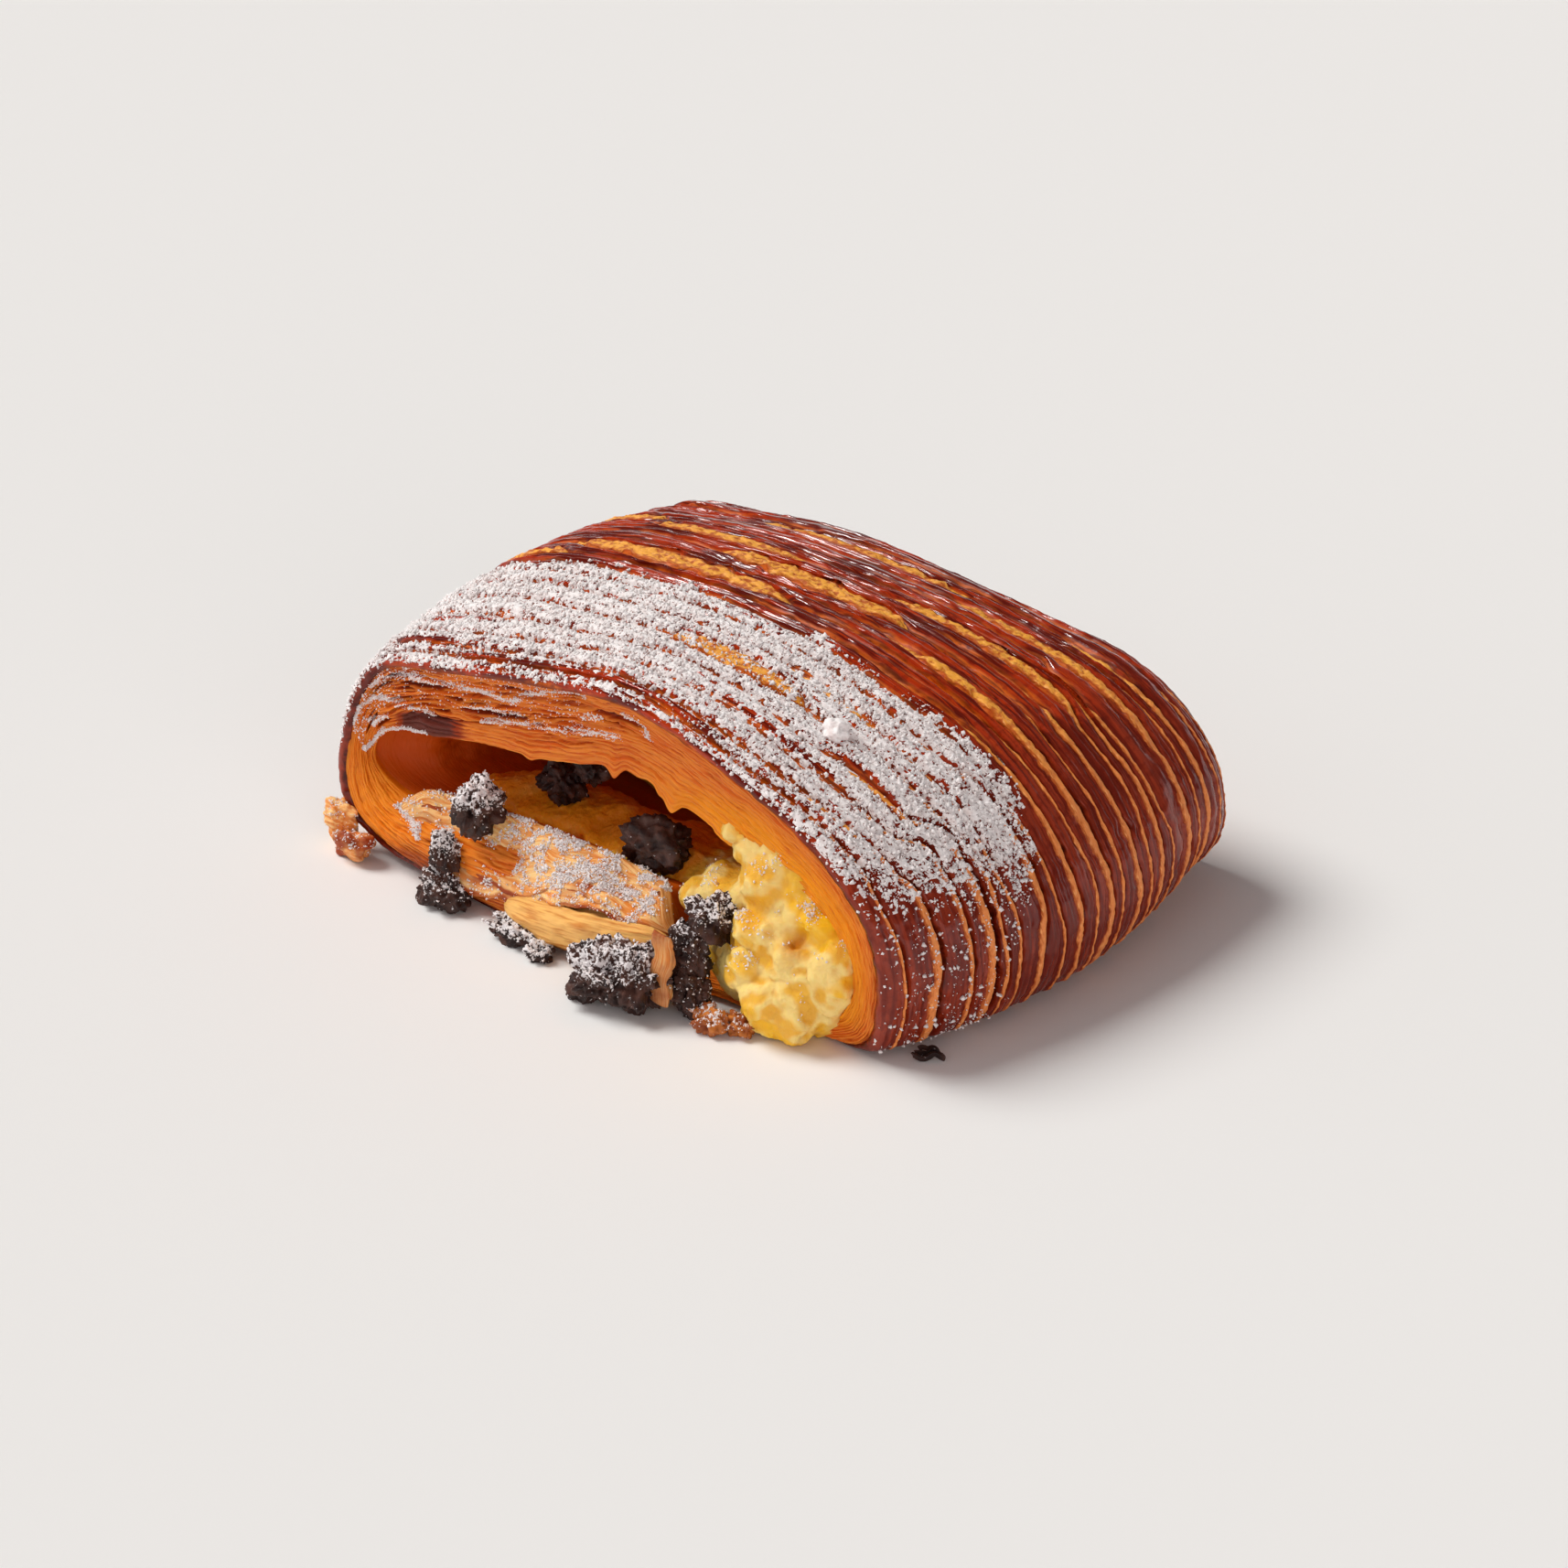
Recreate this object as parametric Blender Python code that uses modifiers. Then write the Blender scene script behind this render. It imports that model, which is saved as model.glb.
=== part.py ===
"""Pain suisse: a ridged, laminated pastry sleeve with its torn open end to the front (-Y).

The sleeve is a ring of rows: over the crust from the front rim to the back, round the back end,
forward through the filling tunnel, and out across the layered mouth to the rim again. Custard
runs through the tunnel and spills from the right of the mouth, with chocolate in and before it.
Sizes below are in millimetres, and meshes are scaled to metres when they are made.
"""

import math

import bmesh
import bpy
import numpy as np
from mathutils import Matrix, Vector, noise

MM = 0.001
GAP = 0.34                # clearance between touching solids
COLUMNS = 42              # points around the sleeve, the same on every row

# ---- driving dimensions of the sleeve
FRONT_Y = -37.8           # plane of the mouth
STRAIGHT = 71.3           # length of the crust before the back end rounds in
BACK_ROUND = 11.4         # radius of the back end
BASE_ROUND = 3.6          # how far the underside lifts there
RIM_ROUND = 1.5           # radius of the front rim
LIP_LENGTH = 9.0          # how far back the front edge's wave reaches
CORE = (2.8, 17.0)        # x, z that the back end closes towards

# ---- outlines of the crust, seen from the front: x, z from bottom centre, left, over the top, right
FRONT_OUTLINE = [
    (0, 0), (-29, 0), (-47.5, 2.7), (-56, 8.3), (-56, 20.2), (-48.7, 33.1), (-34, 37.5), (-15.7, 41.8),
    (3.8, 44.5), (21.7, 40.5), (38.9, 33.3), (50.7, 23.2), (53.2, 11.8), (49.2, 1.4), (35, 0),
]
MIDDLE_OUTLINE = [
    (0, 0), (-29.8, 0), (-46.7, 1.9), (-55.9, 9.5), (-58.7, 21.2), (-54.4, 35.2), (-39.5, 43), (-17.7, 45.9),
    (4, 45.9), (24.2, 43.2), (42.9, 36.3), (56.3, 24.5), (61.4, 12), (56, 0.6), (38.6, 0),
]
BACK_OUTLINE = [
    (0, 0), (-26.9, 0), (-43.2, 2), (-52.9, 9.4), (-56.6, 20.8), (-52.7, 33.6), (-38.8, 36.6), (-17.8, 39.3),
    (4.1, 38.8), (24.7, 36.3), (42.3, 32.9), (55.1, 23.4), (58, 13.3), (52.9, 4.3), (37.2, 0),
]
# how far behind the mouth's plane the crust's front edge and the mouth's inner edge lie
FRONT_EDGE = [-2.3, -0.8, 0, 0.3, 0.6, 0.9, 0.6, 0, 0, 0, 0, 0, 0.3, 1.4, 2.4]
INNER_EDGE = [1.1, 1.1, 1.7, 2.8, 3.7, 4, 3.7, 3.4, 3.4, 3.4, 3.7, 4, 4.3, 5.1, 5]
LIP_BULGE = [-2.4, -2.4, -1.6, -0.8, 0, 0, 0, 0, 0, 0, 0, 0, 0, 0, -0.6]

# ---- openings of the filling tunnel: half width left and right, tip, floor, floor at right, crown
MOUTH_OPENING = (44.5, 45.0, 14.4, 13.6, 7.6, 29.6)
POCKET_OPENING = (41.0, 43.5, 14.0, 11.0, 7.6, 28.4)
SEAM_OPENING = (40.0, 42.0, 13.4, 11.0, 9.8, 16.8)
END_OPENING = (35.0, 35.0, 16.2, 14.5, 14.5, 18.3)
# where each opening lies behind the mouth's plane, as a mix of two
TUNNEL_STATIONS = [
    (8.8, POCKET_OPENING, POCKET_OPENING, 0.0),
    (14.2, POCKET_OPENING, SEAM_OPENING, 0.1),
    (17.4, POCKET_OPENING, SEAM_OPENING, 0.45),
    (19.8, POCKET_OPENING, SEAM_OPENING, 1.0),
    (34.0, SEAM_OPENING, SEAM_OPENING, 0.0),
    (57.0, SEAM_OPENING, END_OPENING, 0.35),
    (76.0, SEAM_OPENING, END_OPENING, 0.9),
    (82.3, END_OPENING, END_OPENING, 0.0),
]

# ---- the ridges of the crust
RIDGES = 21               # strips of laminated dough from the front rim to the back end
RIDGE_HEIGHT = 0.8
GROOVE_WIDTH = 0.5
GROOVE_DEPTH = 0.4
LAYER_RELIEF = 0.35       # layers of dough at the mouth's and the back end's faces
# gaps where the strips tore open: round the section (0 to 1), behind the rim, half length, width
TEARS = [
    (0.556, 18.2, 0.05, 4.0), (0.74, 14.8, 0.05, 1.4), (0.73, 23.0, 0.05, 1.4), (0.359, 35.5, 0.05, 3.4),
    (0.46, 39.3, 0.07, 4.4), (0.67, 42.7, 0.095, 2.5), (0.521, 48.4, 0.06, 4.8), (0.72, 50.2, 0.06, 1.4),
    (0.45, 54.1, 0.05, 3.4), (0.64, 57.5, 0.09, 2.6), (0.635, 65.5, 0.08, 2.9), (0.5, 70.5, 0.08, 2.4),
]

# ---- custard: rounded masses at the mouth, as centre and radii, and the slab that fills the tunnel
CUSTARD_MASSES = [
    ((29.5, -29, 17), (10, 9, 13)),
    ((33, -35.5, 10), (9, 5.5, 9)),
    ((36.2, -38.8, 4.5), (6.6, 4.6, 5.2)),
    ((25, -34.5, 8.5), (6.5, 5.0, 7)),
    ((20, -31, 13.5), (7, 6.5, 6)),
    ((4, -23.5, 12), (24, 8.5, 4.2)),
    ((-20, -23, 11.8), (17, 7.6, 3.8)),
]
# the slab behind them: y and z from and to, half width in front and at the back
CUSTARD_SLAB = (-19.5, 44.2, 9, 22, 43.5, 36.5)
CUSTARD_GRAIN = 1.8       # size of the remeshed custard's faces
CUSTARD_THINNING = 0.08   # share of those faces that is kept

# ---- chocolate and caramelised bits: centre, radii
CHOCOLATE = {
    "chocolate_lip": ((-26.6, -38.4, 16.9), (3.7, 3.5, 3.5)),
    "chocolate_lip_small": ((-31.5, -40.6, 8.4), (2.1, 1.9, 2.7)),
    "chocolate_corner": ((-31.0, -41.6, 2.3), (4.9, 2.7, 2.8)),
    "chocolate_crumbs": ((-13.3, -43.2, 1.3), (5.5, 2.5, 2.0)),
    "chocolate_crumb_end": ((-7.6, -45.4, 1.0), (2.2, 1.7, 1.5)),
    "chocolate_pile": ((7.6, -48.4, 3.3), (5.0, 4.1, 4.5)),
    "chocolate_pile_right": ((14.6, -46.7, 4.1), (4.6, 4.3, 5.1)),
    "chocolate_upright": ((20.2, -42.0, 9.2), (2.9, 2.2, 5.0)),
    "chocolate_foot": ((21.6, -43.4, 3.0), (3.0, 2.3, 3.7)),
    "chocolate_custard": ((21.8, -38.6, 14.4), (3.3, 2.7, 3.0)),
    "chocolate_pocket": ((2.8, -30.3, 16.9), (5.0, 3.4, 3.5)),
    "chocolate_deep": ((-21.4, -25.0, 17.7), (3.4, 3.0, 3.0)),
    "chocolate_deep_high": ((-15.6, -24.2, 21.9), (2.6, 2.4, 2.4)),
    "caramel_bits": ((25.4, -44.2, 1.4), (3.5, 2.1, 2.0)),
    "caramel_bits_right": ((30.4, -42.6, 1.2), (2.3, 1.6, 1.8)),
}

# ---- flakes: centre, size along x, y and z, turn about z and lean about x in degrees
FLAKES = {
    "flake_left": ((-53.0, -41.2, 3.1), (7.0, 1.6, 6.2), -12, -8),
    "flake_upright": ((18.4, -46.6, 8.2), (4.4, 1.3, 11.4), 8, -7),
    "flake_right": ((56.6, -30.2, 0.9), (4.8, 2.6, 1.2), 25, 6),
}
SUGAR_LUMP = ((30.4, -20.8, 41.2), (2.3, 2.2, 2.3))

COLOURS = {
    "crust": (0.16, 0.035, 0.01),
    "custard": (0.85, 0.62, 0.17),
    "chocolate": (0.022, 0.012, 0.012),
    "flake": (0.5, 0.2, 0.06),
    "sugar": (0.85, 0.84, 0.83),
}
ROUGHNESS = {"crust": 0.3, "custard": 0.45, "chocolate": 0.6, "flake": 0.6, "sugar": 0.9}


def smooth_step(value):
    """0 below 0, 1 above 1, and a smooth rise between."""
    value = np.clip(value, 0, 1)
    return value * value * (3 - 2 * value)


def around(values):
    """A closed smooth curve through the values, read at COLUMNS even steps of its parameter."""
    values = np.array(values, float)
    at = np.arange(COLUMNS) / COLUMNS * len(values)
    i = np.floor(at).astype(int)
    t = (at - i).reshape((-1,) + (1,) * (values.ndim - 1))
    a, b, c, d = (values[(i + k) % len(values)] for k in (-1, 0, 1, 2))
    return 0.5 * (2 * b + (c - a) * t + (2 * a - 5 * b + 4 * c - d) * t**2 + (3 * b - a - 3 * c + d) * t**3)


def opening(sizes):
    """A flat oval through the tunnel's wall points, its columns in step with the crust's."""
    left, right, tip, floor, right_floor, crown = sizes
    turn = np.interp(np.arange(COLUMNS) / COLUMNS * 15, (0, 4, 8, 12, 15), (0, 90, 180, 270, 360))
    side, lift = np.sin(np.radians(turn)), np.cos(np.radians(turn))
    x = -side * np.where(side > 0, left, right)
    low = floor + (right_floor - floor) * smooth_step((x - 8) / 14)
    z = np.where(lift > 0, tip + (low - tip) * np.abs(lift) ** 0.5, tip + (crown - tip) * np.abs(lift) ** 0.85)
    return np.column_stack([x, z])


def crust_row(distance, front, middle, back, edge):
    """Points of the smooth crust at a distance behind the rim, measured along the surface."""
    share = np.clip(distance / STRAIGHT, 0, 1)
    outline = front * 2 * (share - 0.5) * (share - 1) + middle * 4 * share * (1 - share)
    outline = outline + back * 2 * share * (share - 0.5)
    turn = np.clip((distance - STRAIGHT) / (BACK_ROUND * math.pi / 2), 0, 1) * math.pi / 2
    rim = np.clip(1 - distance / RIM_ROUND, 0, 1)
    low = smooth_step((outline[:, 1] - 3) / 17)
    inward = (BASE_ROUND + (BACK_ROUND - BASE_ROUND) * low) * (1 - np.cos(turn))
    inward += RIM_ROUND * (1 - np.sqrt(1 - rim**2))
    spoke = outline - CORE
    length = np.linalg.norm(spoke, axis=1)
    outline = outline - spoke * (np.minimum(inward, 0.8 * length) / length)[:, None]
    y = FRONT_Y + min(distance, STRAIGHT) + BACK_ROUND * np.sin(turn)
    y = y + edge * np.clip(1 - distance / LIP_LENGTH, 0, 1) ** 2
    return np.column_stack([outline[:, 0], y, np.maximum(outline[:, 1], 0)])


def ridge_rows():
    """Distance behind the rim and relief of each crust row: three rows a ridge and one a groove."""
    u = np.arange(COLUMNS) / COLUMNS
    length = STRAIGHT + BACK_ROUND * math.pi / 2
    index = np.arange(RIDGES)
    base = 1 + 0.28 * np.sin(2.4 * index + 0.7) + 0.14 * np.sin(5.3 * index)
    base *= (length - GROOVE_WIDTH * RIDGES) / base.sum()
    starts = np.cumsum(base + GROOVE_WIDTH) - GROOVE_WIDTH
    grooves = np.full((RIDGES, COLUMNS), GROOVE_WIDTH)
    for centre, behind, half, width in TEARS:
        nearest = int(np.argmin(abs(starts - behind)))
        grooves[nearest] += width * np.clip(1 - ((u - centre) / half) ** 2, 0, 1) ** 0.75
    ridges = base[:, None] * (1 + 0.08 * np.sin(4 * math.pi * u[None] + 1.9 * index[:, None]))
    scale = length / (ridges.sum(0) + grooves.sum(0))
    rows, at = [], np.zeros(COLUMNS)
    for ridge, groove in zip(ridges * scale, grooves * scale):
        opened = np.clip((groove - GROOVE_WIDTH) / 2, 0, 1)
        for share, height in ((0.08, 0.35), (0.5, 1.0), (0.92, 0.4)):
            rows.append((at + share * ridge, np.full(COLUMNS, RIDGE_HEIGHT * height)))
        at = at + ridge
        rows.append((at + 0.5 * groove, -GROOVE_DEPTH * (1 + opened)))
        at = at + groove
    return rows[:-1]


def crust_rows():
    """The ridged outside of the sleeve, from the front rim to the back end."""
    front, middle, back = (around(outline) for outline in (FRONT_OUTLINE, MIDDLE_OUTLINE, BACK_OUTLINE))
    dense = np.linspace(0, STRAIGHT + BACK_ROUND * math.pi / 2, 400)
    grid = np.array([crust_row(distance, front, middle, back, around(FRONT_EDGE)) for distance in dense])
    normal = np.cross(np.gradient(grid, dense, axis=0), np.roll(grid, -1, 1) - np.roll(grid, 1, 1))
    normal /= np.linalg.norm(normal, axis=2, keepdims=True)
    column = np.arange(COLUMNS)
    rows = [grid[0]]
    for distance, relief in ridge_rows():
        i = np.clip(np.searchsorted(dense, distance) - 1, 0, len(dense) - 2)
        t = ((distance - dense[i]) / (dense[i + 1] - dense[i]))[:, None]
        point = grid[i, column] * (1 - t) + grid[i + 1, column] * t
        shown = smooth_step((point[:, 2] - 0.4) / 4)
        point = point + normal[i, column] * (relief * shown)[:, None]
        point[:, 2] = np.maximum(point[:, 2], 0)
        rows.append(point)
    rows.append(grid[-1])
    return rows


def tunnel_rows():
    """The tunnel's wall from the mouth to the back end, as rows of points."""
    mouth = opening(MOUTH_OPENING)
    rows = [np.column_stack([mouth[:, 0], FRONT_Y + around(INNER_EDGE), mouth[:, 1]])]
    for behind, first, second, share in TUNNEL_STATIONS:
        wall = opening(first) * (1 - share) + opening(second) * share
        rows.append(np.column_stack([wall[:, 0], np.full(COLUMNS, FRONT_Y + behind), wall[:, 1]]))
    return rows


def across(outer, inner, steps, bulge, layer):
    """Rows from one ring of points to another, bulging along Y, with a small layered relief."""
    rows = []
    for k in range(1, steps):
        share = k / steps
        row = outer * (1 - share) + inner * share
        row[:, 1] += bulge * math.sin(math.pi * share) + (layer if k % 2 else -layer)
        rows.append(row)
    return rows


def ring_faces(count):
    """Quads between each row and the next, and from the last row to the first."""
    i, j = np.meshgrid(np.arange(count), np.arange(COLUMNS), indexing="ij")
    a, b, k = i * COLUMNS, (i + 1) % count * COLUMNS, (j + 1) % COLUMNS
    return np.stack([a + j, a + k, b + k, b + j], axis=-1).reshape(-1, 4).tolist()


def make_object(name, points, faces, collection, material=None):
    """A new object from points in millimetres and faces."""
    mesh = bpy.data.meshes.new(name)
    mesh.from_pydata((np.asarray(points) * MM).tolist(), [], faces)
    thing = bpy.data.objects.new(name, mesh)
    collection.objects.link(thing)
    if material:
        mesh.materials.append(material)
    return thing


def finish(thing, angle=50):
    """Smooth shading with the sharp edges kept."""
    thing.data.shade_smooth()
    thing.data.set_sharp_from_angle(angle=math.radians(angle))


def apply_modifiers(thing):
    """Replace the object's mesh with the result of its modifiers."""
    bpy.context.view_layer.update()
    evaluated = thing.evaluated_get(bpy.context.evaluated_depsgraph_get())
    mesh = bpy.data.meshes.new_from_object(evaluated)
    thing.modifiers.clear()
    thing.data = mesh


def swollen(thing, amount, collection):
    """A copy of the object pushed outwards by an amount in millimetres, used as a cutter."""
    copy = bpy.data.objects.new(thing.name + "_cutter", thing.data.copy())
    collection.objects.link(copy)
    push = copy.modifiers.new("push", "DISPLACE")
    push.strength = amount * MM
    push.mid_level = 0
    apply_modifiers(copy)
    return copy


def cut(thing, cutters):
    """Take the cutters out of the object, and keep its largest piece."""
    for cutter in cutters:
        bite = thing.modifiers.new("cut", "BOOLEAN")
        bite.operation = "DIFFERENCE"
        bite.solver = "EXACT"
        bite.object = cutter
    apply_modifiers(thing)
    keep_largest(thing)


def meeting(thing, others):
    """Those of the other objects whose bounding boxes meet this one's."""
    def extent(item):
        corners = np.array([vertex.co[:] for vertex in item.data.vertices])
        return corners.min(0), corners.max(0)

    low, high = extent(thing)
    return [other for other in others if (extent(other)[0] < high).all() and (extent(other)[1] > low).all()]


def keep_largest(thing):
    """Drop every loose piece of the mesh but the one with the most faces."""
    mesh = thing.data
    label = np.arange(len(mesh.vertices))
    edges = np.array([edge.vertices[:] for edge in mesh.edges])
    while True:
        low = np.minimum(label[edges[:, 0]], label[edges[:, 1]])
        fresh = label.copy()
        np.minimum.at(fresh, edges[:, 0], low)
        np.minimum.at(fresh, edges[:, 1], low)
        fresh = fresh[fresh]
        if (fresh == label).all():
            break
        label = fresh
    values, counts = np.unique(label, return_counts=True)
    keep = label == values[counts.argmax()]
    if keep.all():
        return
    number = np.cumsum(keep) - 1
    points = [vertex.co[:] for vertex in mesh.vertices if keep[vertex.index]]
    faces = [[int(number[v]) for v in face.vertices] for face in mesh.polygons if keep[face.vertices[0]]]
    smaller = bpy.data.meshes.new(mesh.name)
    smaller.from_pydata(points, [], faces)
    for material in mesh.materials:
        smaller.materials.append(material)
    thing.data = smaller


def ball(name, centre, radii, detail, rough, seed, collection, material=None):
    """An icosphere stretched to the radii, roughened by noise, and flat where it meets the ground."""
    shape = bmesh.new()
    bmesh.ops.create_icosphere(shape, subdivisions=detail, radius=1)
    offset = Vector((seed * 7.3, seed * 3.1, seed * 5.7))
    for vertex in shape.verts:
        swell = 1 + rough * noise.noise(vertex.co * 1.9 + offset)
        place = Vector(centre) + swell * vertex.co * Vector(radii)
        place.z = max(place.z, 0)
        vertex.co = place * MM
    return place_object(name, shape, collection, material)


def place_object(name, shape, collection, material=None):
    """A new object from a bmesh, which is freed."""
    mesh = bpy.data.meshes.new(name)
    shape.to_mesh(mesh)
    shape.free()
    thing = bpy.data.objects.new(name, mesh)
    collection.objects.link(thing)
    if material:
        mesh.materials.append(material)
    return thing


def make_dough(collection, material):
    crust, tunnel = crust_rows(), tunnel_rows()
    mouth = across(crust[0], tunnel[0], 7, around(LIP_BULGE), LAYER_RELIEF)
    back = across(crust[-1], tunnel[-1], 4, np.zeros(COLUMNS), -LAYER_RELIEF)
    rows = crust + back + tunnel[::-1] + mouth[::-1]
    dough = make_object("dough", np.concatenate(rows), ring_faces(len(rows)), collection, material)
    finish(dough)
    return dough


def make_custard(dough_cutter, topping_cutters, collection, cutters, material):
    """The rounded masses and the slab, joined and remeshed, then fitted to the dough and toppings."""
    front, back, low, high, wide, narrow = CUSTARD_SLAB
    slab = bmesh.new()
    bmesh.ops.create_cube(slab, size=2)
    for vertex in slab.verts:
        x, y, z = vertex.co
        side = wide if y < 0 else narrow
        vertex.co = Vector((x * side, front if y < 0 else back, low if z < 0 else high)) * MM
    custard = place_object("custard", slab, collection, material)
    for number, (centre, radii) in enumerate(CUSTARD_MASSES):
        mass = ball("custard_mass", centre, radii, 4, 0.22, number, cutters)
        join = custard.modifiers.new("join", "BOOLEAN")
        join.operation = "UNION"
        join.solver = "EXACT"
        join.object = mass
    remesh = custard.modifiers.new("remesh", "REMESH")
    remesh.mode = "VOXEL"
    remesh.voxel_size = CUSTARD_GRAIN * MM
    thin = custard.modifiers.new("thin", "DECIMATE")
    thin.ratio = CUSTARD_THINNING
    apply_modifiers(custard)
    cut(custard, [dough_cutter] + meeting(custard, topping_cutters))
    settle(custard)
    finish(custard)
    return custard


def settle(thing):
    """Lay on the ground what the cutting left below it."""
    for vertex in thing.data.vertices:
        vertex.co.z = max(vertex.co.z, 0)


def make_flake(name, centre, size, turn, lean, collection, material):
    """A thin, curled plate with an uneven edge, thickened from an open grid."""
    width, thickness, height = size
    sheet = bmesh.new()
    bmesh.ops.create_grid(sheet, x_segments=4, y_segments=4, size=0.5)
    turned = Matrix.Rotation(math.radians(turn), 3, "Z") @ Matrix.Rotation(math.radians(lean), 3, "X")
    for vertex in sheet.verts:
        w, v = vertex.co.xy
        curl = 0.5 * math.sin(3 * w + 2 * v) + 0.35 * math.cos(5 * v)
        edge = 1 - 0.16 * (abs(math.sin(7 * w)) + abs(math.cos(9 * v)))
        place = turned @ Vector((w * width * edge, curl * thickness * 0.4, v * height * edge)) + Vector(centre)
        vertex.co = place * MM
    flake = place_object(name, sheet, collection, material)
    wall = flake.modifiers.new("wall", "SOLIDIFY")
    wall.thickness = thickness * 0.6 * MM
    wall.offset = 0
    apply_modifiers(flake)
    settle(flake)
    finish(flake)
    return flake


def make_material(name):
    material = bpy.data.materials.new(name)
    material.use_nodes = True
    shader = material.node_tree.nodes["Principled BSDF"]
    shader.inputs["Base Color"].default_value = COLOURS[name] + (1,)
    shader.inputs["Roughness"].default_value = ROUGHNESS[name]
    material.diffuse_color = COLOURS[name] + (1,)
    return material


def centre_on_base(collection):
    """Move everything so the whole object's bounding box stands on the origin."""
    corners = np.concatenate([[vertex.co[:] for vertex in thing.data.vertices] for thing in collection.objects])
    low, high = corners.min(0), corners.max(0)
    shift = Vector((-(low[0] + high[0]) / 2, -(low[1] + high[1]) / 2, -low[2]))
    for thing in collection.objects:
        thing.data.transform(Matrix.Translation(shift))


def main():
    for thing in list(bpy.data.objects):
        bpy.data.objects.remove(thing)
    collection = bpy.data.collections.new("pain_suisse")
    cutters = bpy.data.collections.new("cutters")
    bpy.context.scene.collection.children.link(collection)
    bpy.context.scene.collection.children.link(cutters)
    materials = {name: make_material(name) for name in COLOURS}
    dough = make_dough(collection, materials["crust"])
    dough_cutter = swollen(dough, GAP, cutters)
    topping_cutters = []
    for name, (centre, size, turn, lean) in FLAKES.items():
        flake = make_flake(name, centre, size, turn, lean, collection, materials["flake"])
        topping_cutters.append(swollen(flake, GAP, cutters))
    for seed, (name, (centre, radii)) in enumerate(CHOCOLATE.items()):
        slot = "flake" if name.startswith("caramel") else "chocolate"
        detail = 3 if max(radii) > 4.95 else 2
        piece = ball(name, centre, radii, detail, 0.5, seed, collection, materials[slot])
        cut(piece, [dough_cutter] + meeting(piece, topping_cutters))
        finish(piece, 35)
        topping_cutters.append(swollen(piece, GAP, cutters))
    make_custard(dough_cutter, topping_cutters, collection, cutters, materials["custard"])
    lump = ball("sugar_lump", *SUGAR_LUMP, 2, 0.3, 40, collection, materials["sugar"])
    cut(lump, [dough_cutter])
    finish(lump, 35)
    centre_on_base(collection)
    for cutter in cutters.objects:
        cutter.hide_render = True
        cutter.display_type = "WIRE"


main()
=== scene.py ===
import math
import bmesh
import bpy
import numpy as np
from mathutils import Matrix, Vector


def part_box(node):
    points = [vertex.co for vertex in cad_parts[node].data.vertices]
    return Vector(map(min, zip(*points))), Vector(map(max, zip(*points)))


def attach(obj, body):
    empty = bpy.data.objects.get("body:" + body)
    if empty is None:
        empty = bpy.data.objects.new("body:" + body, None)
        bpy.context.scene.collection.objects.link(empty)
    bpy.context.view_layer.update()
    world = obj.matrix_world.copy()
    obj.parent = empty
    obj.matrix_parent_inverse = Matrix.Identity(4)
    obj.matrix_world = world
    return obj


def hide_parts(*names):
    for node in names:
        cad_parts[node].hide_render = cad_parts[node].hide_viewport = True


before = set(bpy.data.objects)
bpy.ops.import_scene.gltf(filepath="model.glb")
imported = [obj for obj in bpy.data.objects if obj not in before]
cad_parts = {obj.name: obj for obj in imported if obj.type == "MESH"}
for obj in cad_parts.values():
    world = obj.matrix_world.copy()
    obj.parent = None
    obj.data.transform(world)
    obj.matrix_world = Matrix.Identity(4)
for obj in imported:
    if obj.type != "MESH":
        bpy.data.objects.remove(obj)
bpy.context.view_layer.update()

# the pastry is drawn in millimetres round a point under its middle, its open end towards -Y;
# that point lies this far, in metres, from the left and the back of the frame's own dough
fromLeft, fromBack = 0.05904, 0.04506
doughLow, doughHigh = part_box("dough")
origin = np.array([doughLow[0] + fromLeft, doughHigh[1] - fromBack, 0.0])


def smoothStep(value):
    # 0 below 0, 1 above 1, and 3v^2 - 2v^3 between
    value = np.clip(value, 0, 1)
    return value * value * (3 - 2 * value)


def stacked(*parts):
    # arrays and plain numbers drawn out to one shape, and stacked along a new last axis
    return np.stack(np.broadcast_arrays(*parts), -1)


def spotNoise(points, seed=0):
    # random values -1 to 1 at whole-number points, blended smoothly between the eight corners round each
    # point; a corner's value is its three numbers and the seed, multiplied by large primes, joined and
    # stirred twice
    cell = np.floor(points).astype(np.int64)
    part = points - cell
    part = part * part * (3 - 2 * part)
    total = np.zeros(points.shape[:-1])
    for corner in range(8):
        step = np.array([corner & 1, corner >> 1 & 1, corner >> 2 & 1])
        x, y, z = np.moveaxis(cell + step, -1, 0)
        value = x * 73856093 ^ y * 19349663 ^ z * 83492791 ^ (seed + 1) * 40503
        value = (value ^ value >> 13) * 1274126177 & 0x7FFFFFFF
        value = (value ^ value >> 15) * 60493 & 0x7FFFFFFF
        total += np.where(step, part, 1 - part).prod(-1) * (value / 0x3FFFFFFF - 1)
    return total


def cloudNoise(points, seed=0, octaves=3):
    # spotNoise at 1, 2, 4... times the points, each half as strong as the one before
    return sum(spotNoise(points * 2**k, seed + 7 * k) / 2**k for k in range(octaves))


def cubic(a, b, c, d, t):
    # Catmull-Rom from b to c: 0.5 (2b + (c-a)t + (2a-5b+4c-d)t^2 + (3b-a-3c+d)t^3)
    return 0.5 * (2 * b + (c - a) * t + (2 * a - 5 * b + 4 * c - d) * t**2 + (3 * b - a - 3 * c + d) * t**3)


def closedCurve(values, u):
    # cubic through a ring of values, u from 0 to 1 once round
    values = np.array(values, float)
    at = np.mod(u, 1) * len(values)
    i = np.floor(at).astype(int)
    t = (at - i).reshape(at.shape + (1,) * (values.ndim - 1))
    return cubic(*(values[(i + k) % len(values)] for k in (-1, 0, 1, 2)), t)


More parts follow.
